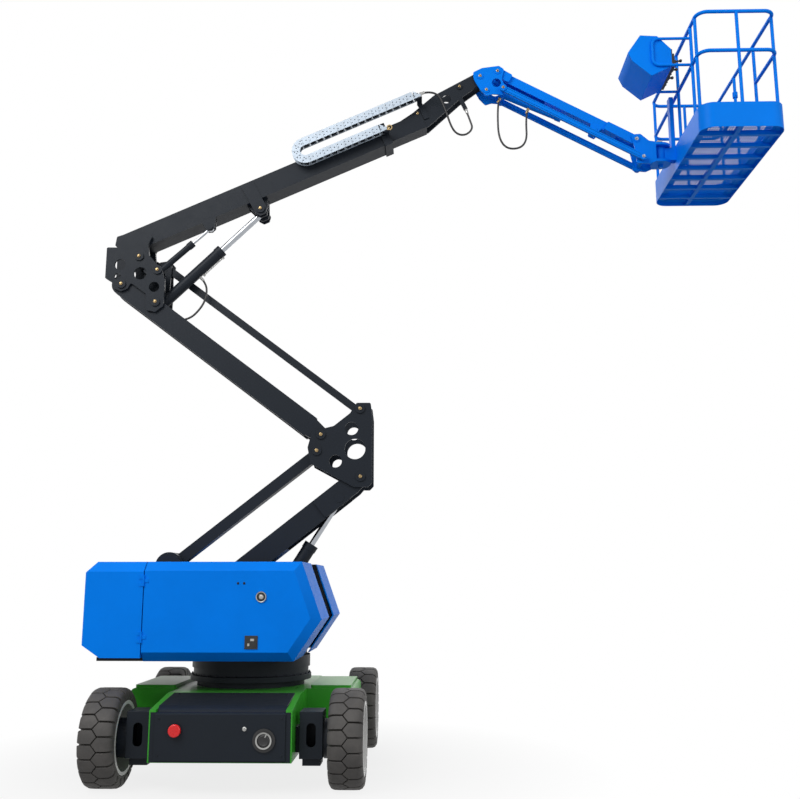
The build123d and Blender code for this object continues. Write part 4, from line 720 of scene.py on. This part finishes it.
mesh_piece("rotator_fittings", rotator_fittings, zinc, "platform_mount")

# Free hoses: black rubber on wire braid, each a loose loop between two plated fittings.
# One feeds the lift cylinder, one leaves the energy chain at the boom head, one feeds the jib cylinder.
hose_rubber = moulded("hose_rubber", (0.006, 0.006, 0.007), 0.38)
HOSE_RADIUS = 0.010
HOSES = (
    ("hose_lift", "lift_barrel", (
        (-0.9898, 0, 4.1593), (-0.9878, 0, 4.0705), (-0.7098, 0, 4.0705), (-0.5848, 0, 4.2005),
        (-0.5398, 0, 4.3205), (-0.5473, 0, 4.4425), (-0.6101, 0, 4.5068))),
    ("hose_head", "extension", (
        (1.5348, -0.168, 6.3209), (1.5987, -0.168, 6.3492), (1.7198, -0.162, 6.3249),
        (1.7850, -0.153, 6.1650), (1.8460, -0.144, 5.9680), (1.9100, -0.132, 5.9030),
        (1.9950, -0.117, 5.9100), (2.0560, -0.102, 5.9850), (2.0310, -0.087, 6.0750),
        (1.9913, -0.066, 6.2033))),
    ("hose_jib", "jib_barrel", (
        (2.3381, 0, 6.3579), (2.3077, 0, 6.3053), (2.3177, 0, 5.8149), (2.5997, 0, 5.8149),
        (2.5888, 0, 6.1760), (2.6179, 0, 6.2395))),
)
for name, body, route in HOSES:
    path = bpy.data.curves.new(name + "_tube", "CURVE")
    path.dimensions = "3D"
    path.bevel_depth = HOSE_RADIUS
    path.bevel_resolution = 3
    path.use_fill_caps = True
    spline = path.splines.new("NURBS")
    spline.points.add(len(route) - 1)
    for spot, place in zip(spline.points, route):
        spot.co = (*place, 1)
    spline.order_u = 3
    spline.use_endpoint_u = True
    spline.resolution_u = 12
    path.materials.append(hose_rubber)
    hose = bpy.data.objects.new(name + "_tube", path)
    scene.collection.objects.link(hose)
    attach(hose, body)
    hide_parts(name)

    def ferrules(data):
        for start, after in ((route[0], route[1]), (route[-1], route[-2])):
            out = (Vector(after) - Vector(start)).normalized()
            turned(data, ((0.0005, 0.017), (0.016, 0.017), (0.018, 0.015)), start, out, 6)
            turned(data, ((0.016, 0.0135), (0.046, 0.0135), (0.050, 0.0115)), start, out, 18)

    mesh_piece(name + "_ferrules", ferrules, brass_plate if name == "hose_jib" else zinc, body)

# Floor, light and camera: a plain matt floor that turns to white away from the machine.
# Three large soft lamps stand round it in a white room, and the camera has the photograph's point of view.
FLOOR_REACH = 90
floor_corners = [(x * FLOOR_REACH, y * FLOOR_REACH, 0) for x, y in ((-1, -1), (1, -1), (1, 1), (-1, 1))]
floor_mesh = bpy.data.meshes.new("floor")
floor_mesh.from_pydata(floor_corners, [], [(0, 1, 2, 3)])
floor = bpy.data.objects.new("floor", floor_mesh)
scene.collection.objects.link(floor)
floor_paint, nodes, links, shader = new_material("floor_paint")
shader.inputs["Base Color"].default_value = (0.36, 0.36, 0.36, 1)
shader.inputs["Roughness"].default_value = 1.0
shader.inputs["Specular IOR Level"].default_value = 0.0


def plain_rays(nodes, links):
    """One where the eye, a mirror or glass looks, nought for the light that falls on the machine."""
    rays = nodes.new("ShaderNodeLightPath")
    seen = rays.outputs["Is Camera Ray"]
    for kind in ("Is Glossy Ray", "Is Transmission Ray"):
        most = nodes.new("ShaderNodeMath")
        most.operation = "MAXIMUM"
        links.new(seen, most.inputs[0])
        links.new(rays.outputs[kind], most.inputs[1])
        seen = most.outputs[0]
    return seen


place = nodes.new("ShaderNodeTexCoord")
reach = nodes.new("ShaderNodeVectorMath")
reach.operation = "LENGTH"
links.new(place.outputs["Object"], reach.inputs[0])
white = nodes.new("ShaderNodeEmission")
white.inputs["Color"].default_value = (1, 1, 1, 1)
share = nodes.new("ShaderNodeMath")
share.operation = "MULTIPLY"
links.new(ramp(nodes, links, reach.outputs["Value"], 0.82, 1.0, 1.0, 3.2), share.inputs[0])
links.new(plain_rays(nodes, links), share.inputs[1])
pale = nodes.new("ShaderNodeMixShader")
links.new(share.outputs[0], pale.inputs["Fac"])
links.new(shader.outputs[0], pale.inputs[1])
links.new(white.outputs[0], pale.inputs[2])
links.new(pale.outputs[0], nodes["Material Output"].inputs["Surface"])
floor_mesh.materials.append(floor_paint)

world = bpy.data.worlds.new("studio")
scene.world = world
world.use_nodes = True
nodes, links = world.node_tree.nodes, world.node_tree.links
nodes.clear()
soft = nodes.new("ShaderNodeBackground")
soft.inputs["Strength"].default_value = 0.42
bare = nodes.new("ShaderNodeBackground")
for sky in (soft, bare):
    sky.inputs["Color"].default_value = (1, 1, 1, 1)
pick = nodes.new("ShaderNodeMixShader")
links.new(plain_rays(nodes, links), pick.inputs["Fac"])
links.new(soft.outputs[0], pick.inputs[1])
links.new(bare.outputs[0], pick.inputs[2])
out = nodes.new("ShaderNodeOutputWorld")
links.new(pick.outputs[0], out.inputs["Surface"])

for name, place, aim, size, power in (
    ("key", (-5.0, -9.0, 11.0), (0.8, 0, 3.0), 7.0, 1080),
    ("fill", (9.0, -8.0, 6.0), (1.5, 0, 3.5), 8.0, 330),
    ("back", (2.0, 10.0, 9.0), (0.8, 0, 3.0), 8.0, 350),
):
    lamp = bpy.data.lights.new(name, "AREA")
    lamp.energy = power
    lamp.size = size
    holder = bpy.data.objects.new(name, lamp)
    holder.location = place
    holder.rotation_euler = (Vector(aim) - Vector(place)).to_track_quat("-Z", "Y").to_euler()
    scene.collection.objects.link(holder)

PHOTO_WIDTH, FOCAL_PIXELS, SENSOR_WIDTH = 800, 959.56, 36.0
camera_data = bpy.data.cameras.new("camera")
camera_data.sensor_width = SENSOR_WIDTH
camera_data.lens = SENSOR_WIDTH * FOCAL_PIXELS / PHOTO_WIDTH
camera = bpy.data.objects.new("camera", camera_data)
camera.location = (1.55, -8.90, 1.568)
pitch, yaw = math.radians(10.922), math.radians(-1.385)
gaze = Vector((math.sin(yaw) * math.cos(pitch), math.cos(yaw) * math.cos(pitch), math.sin(pitch)))
camera.rotation_euler = gaze.to_track_quat("-Z", "Y").to_euler()
scene.collection.objects.link(camera)
scene.camera = camera
scene.view_settings.view_transform = "Standard"
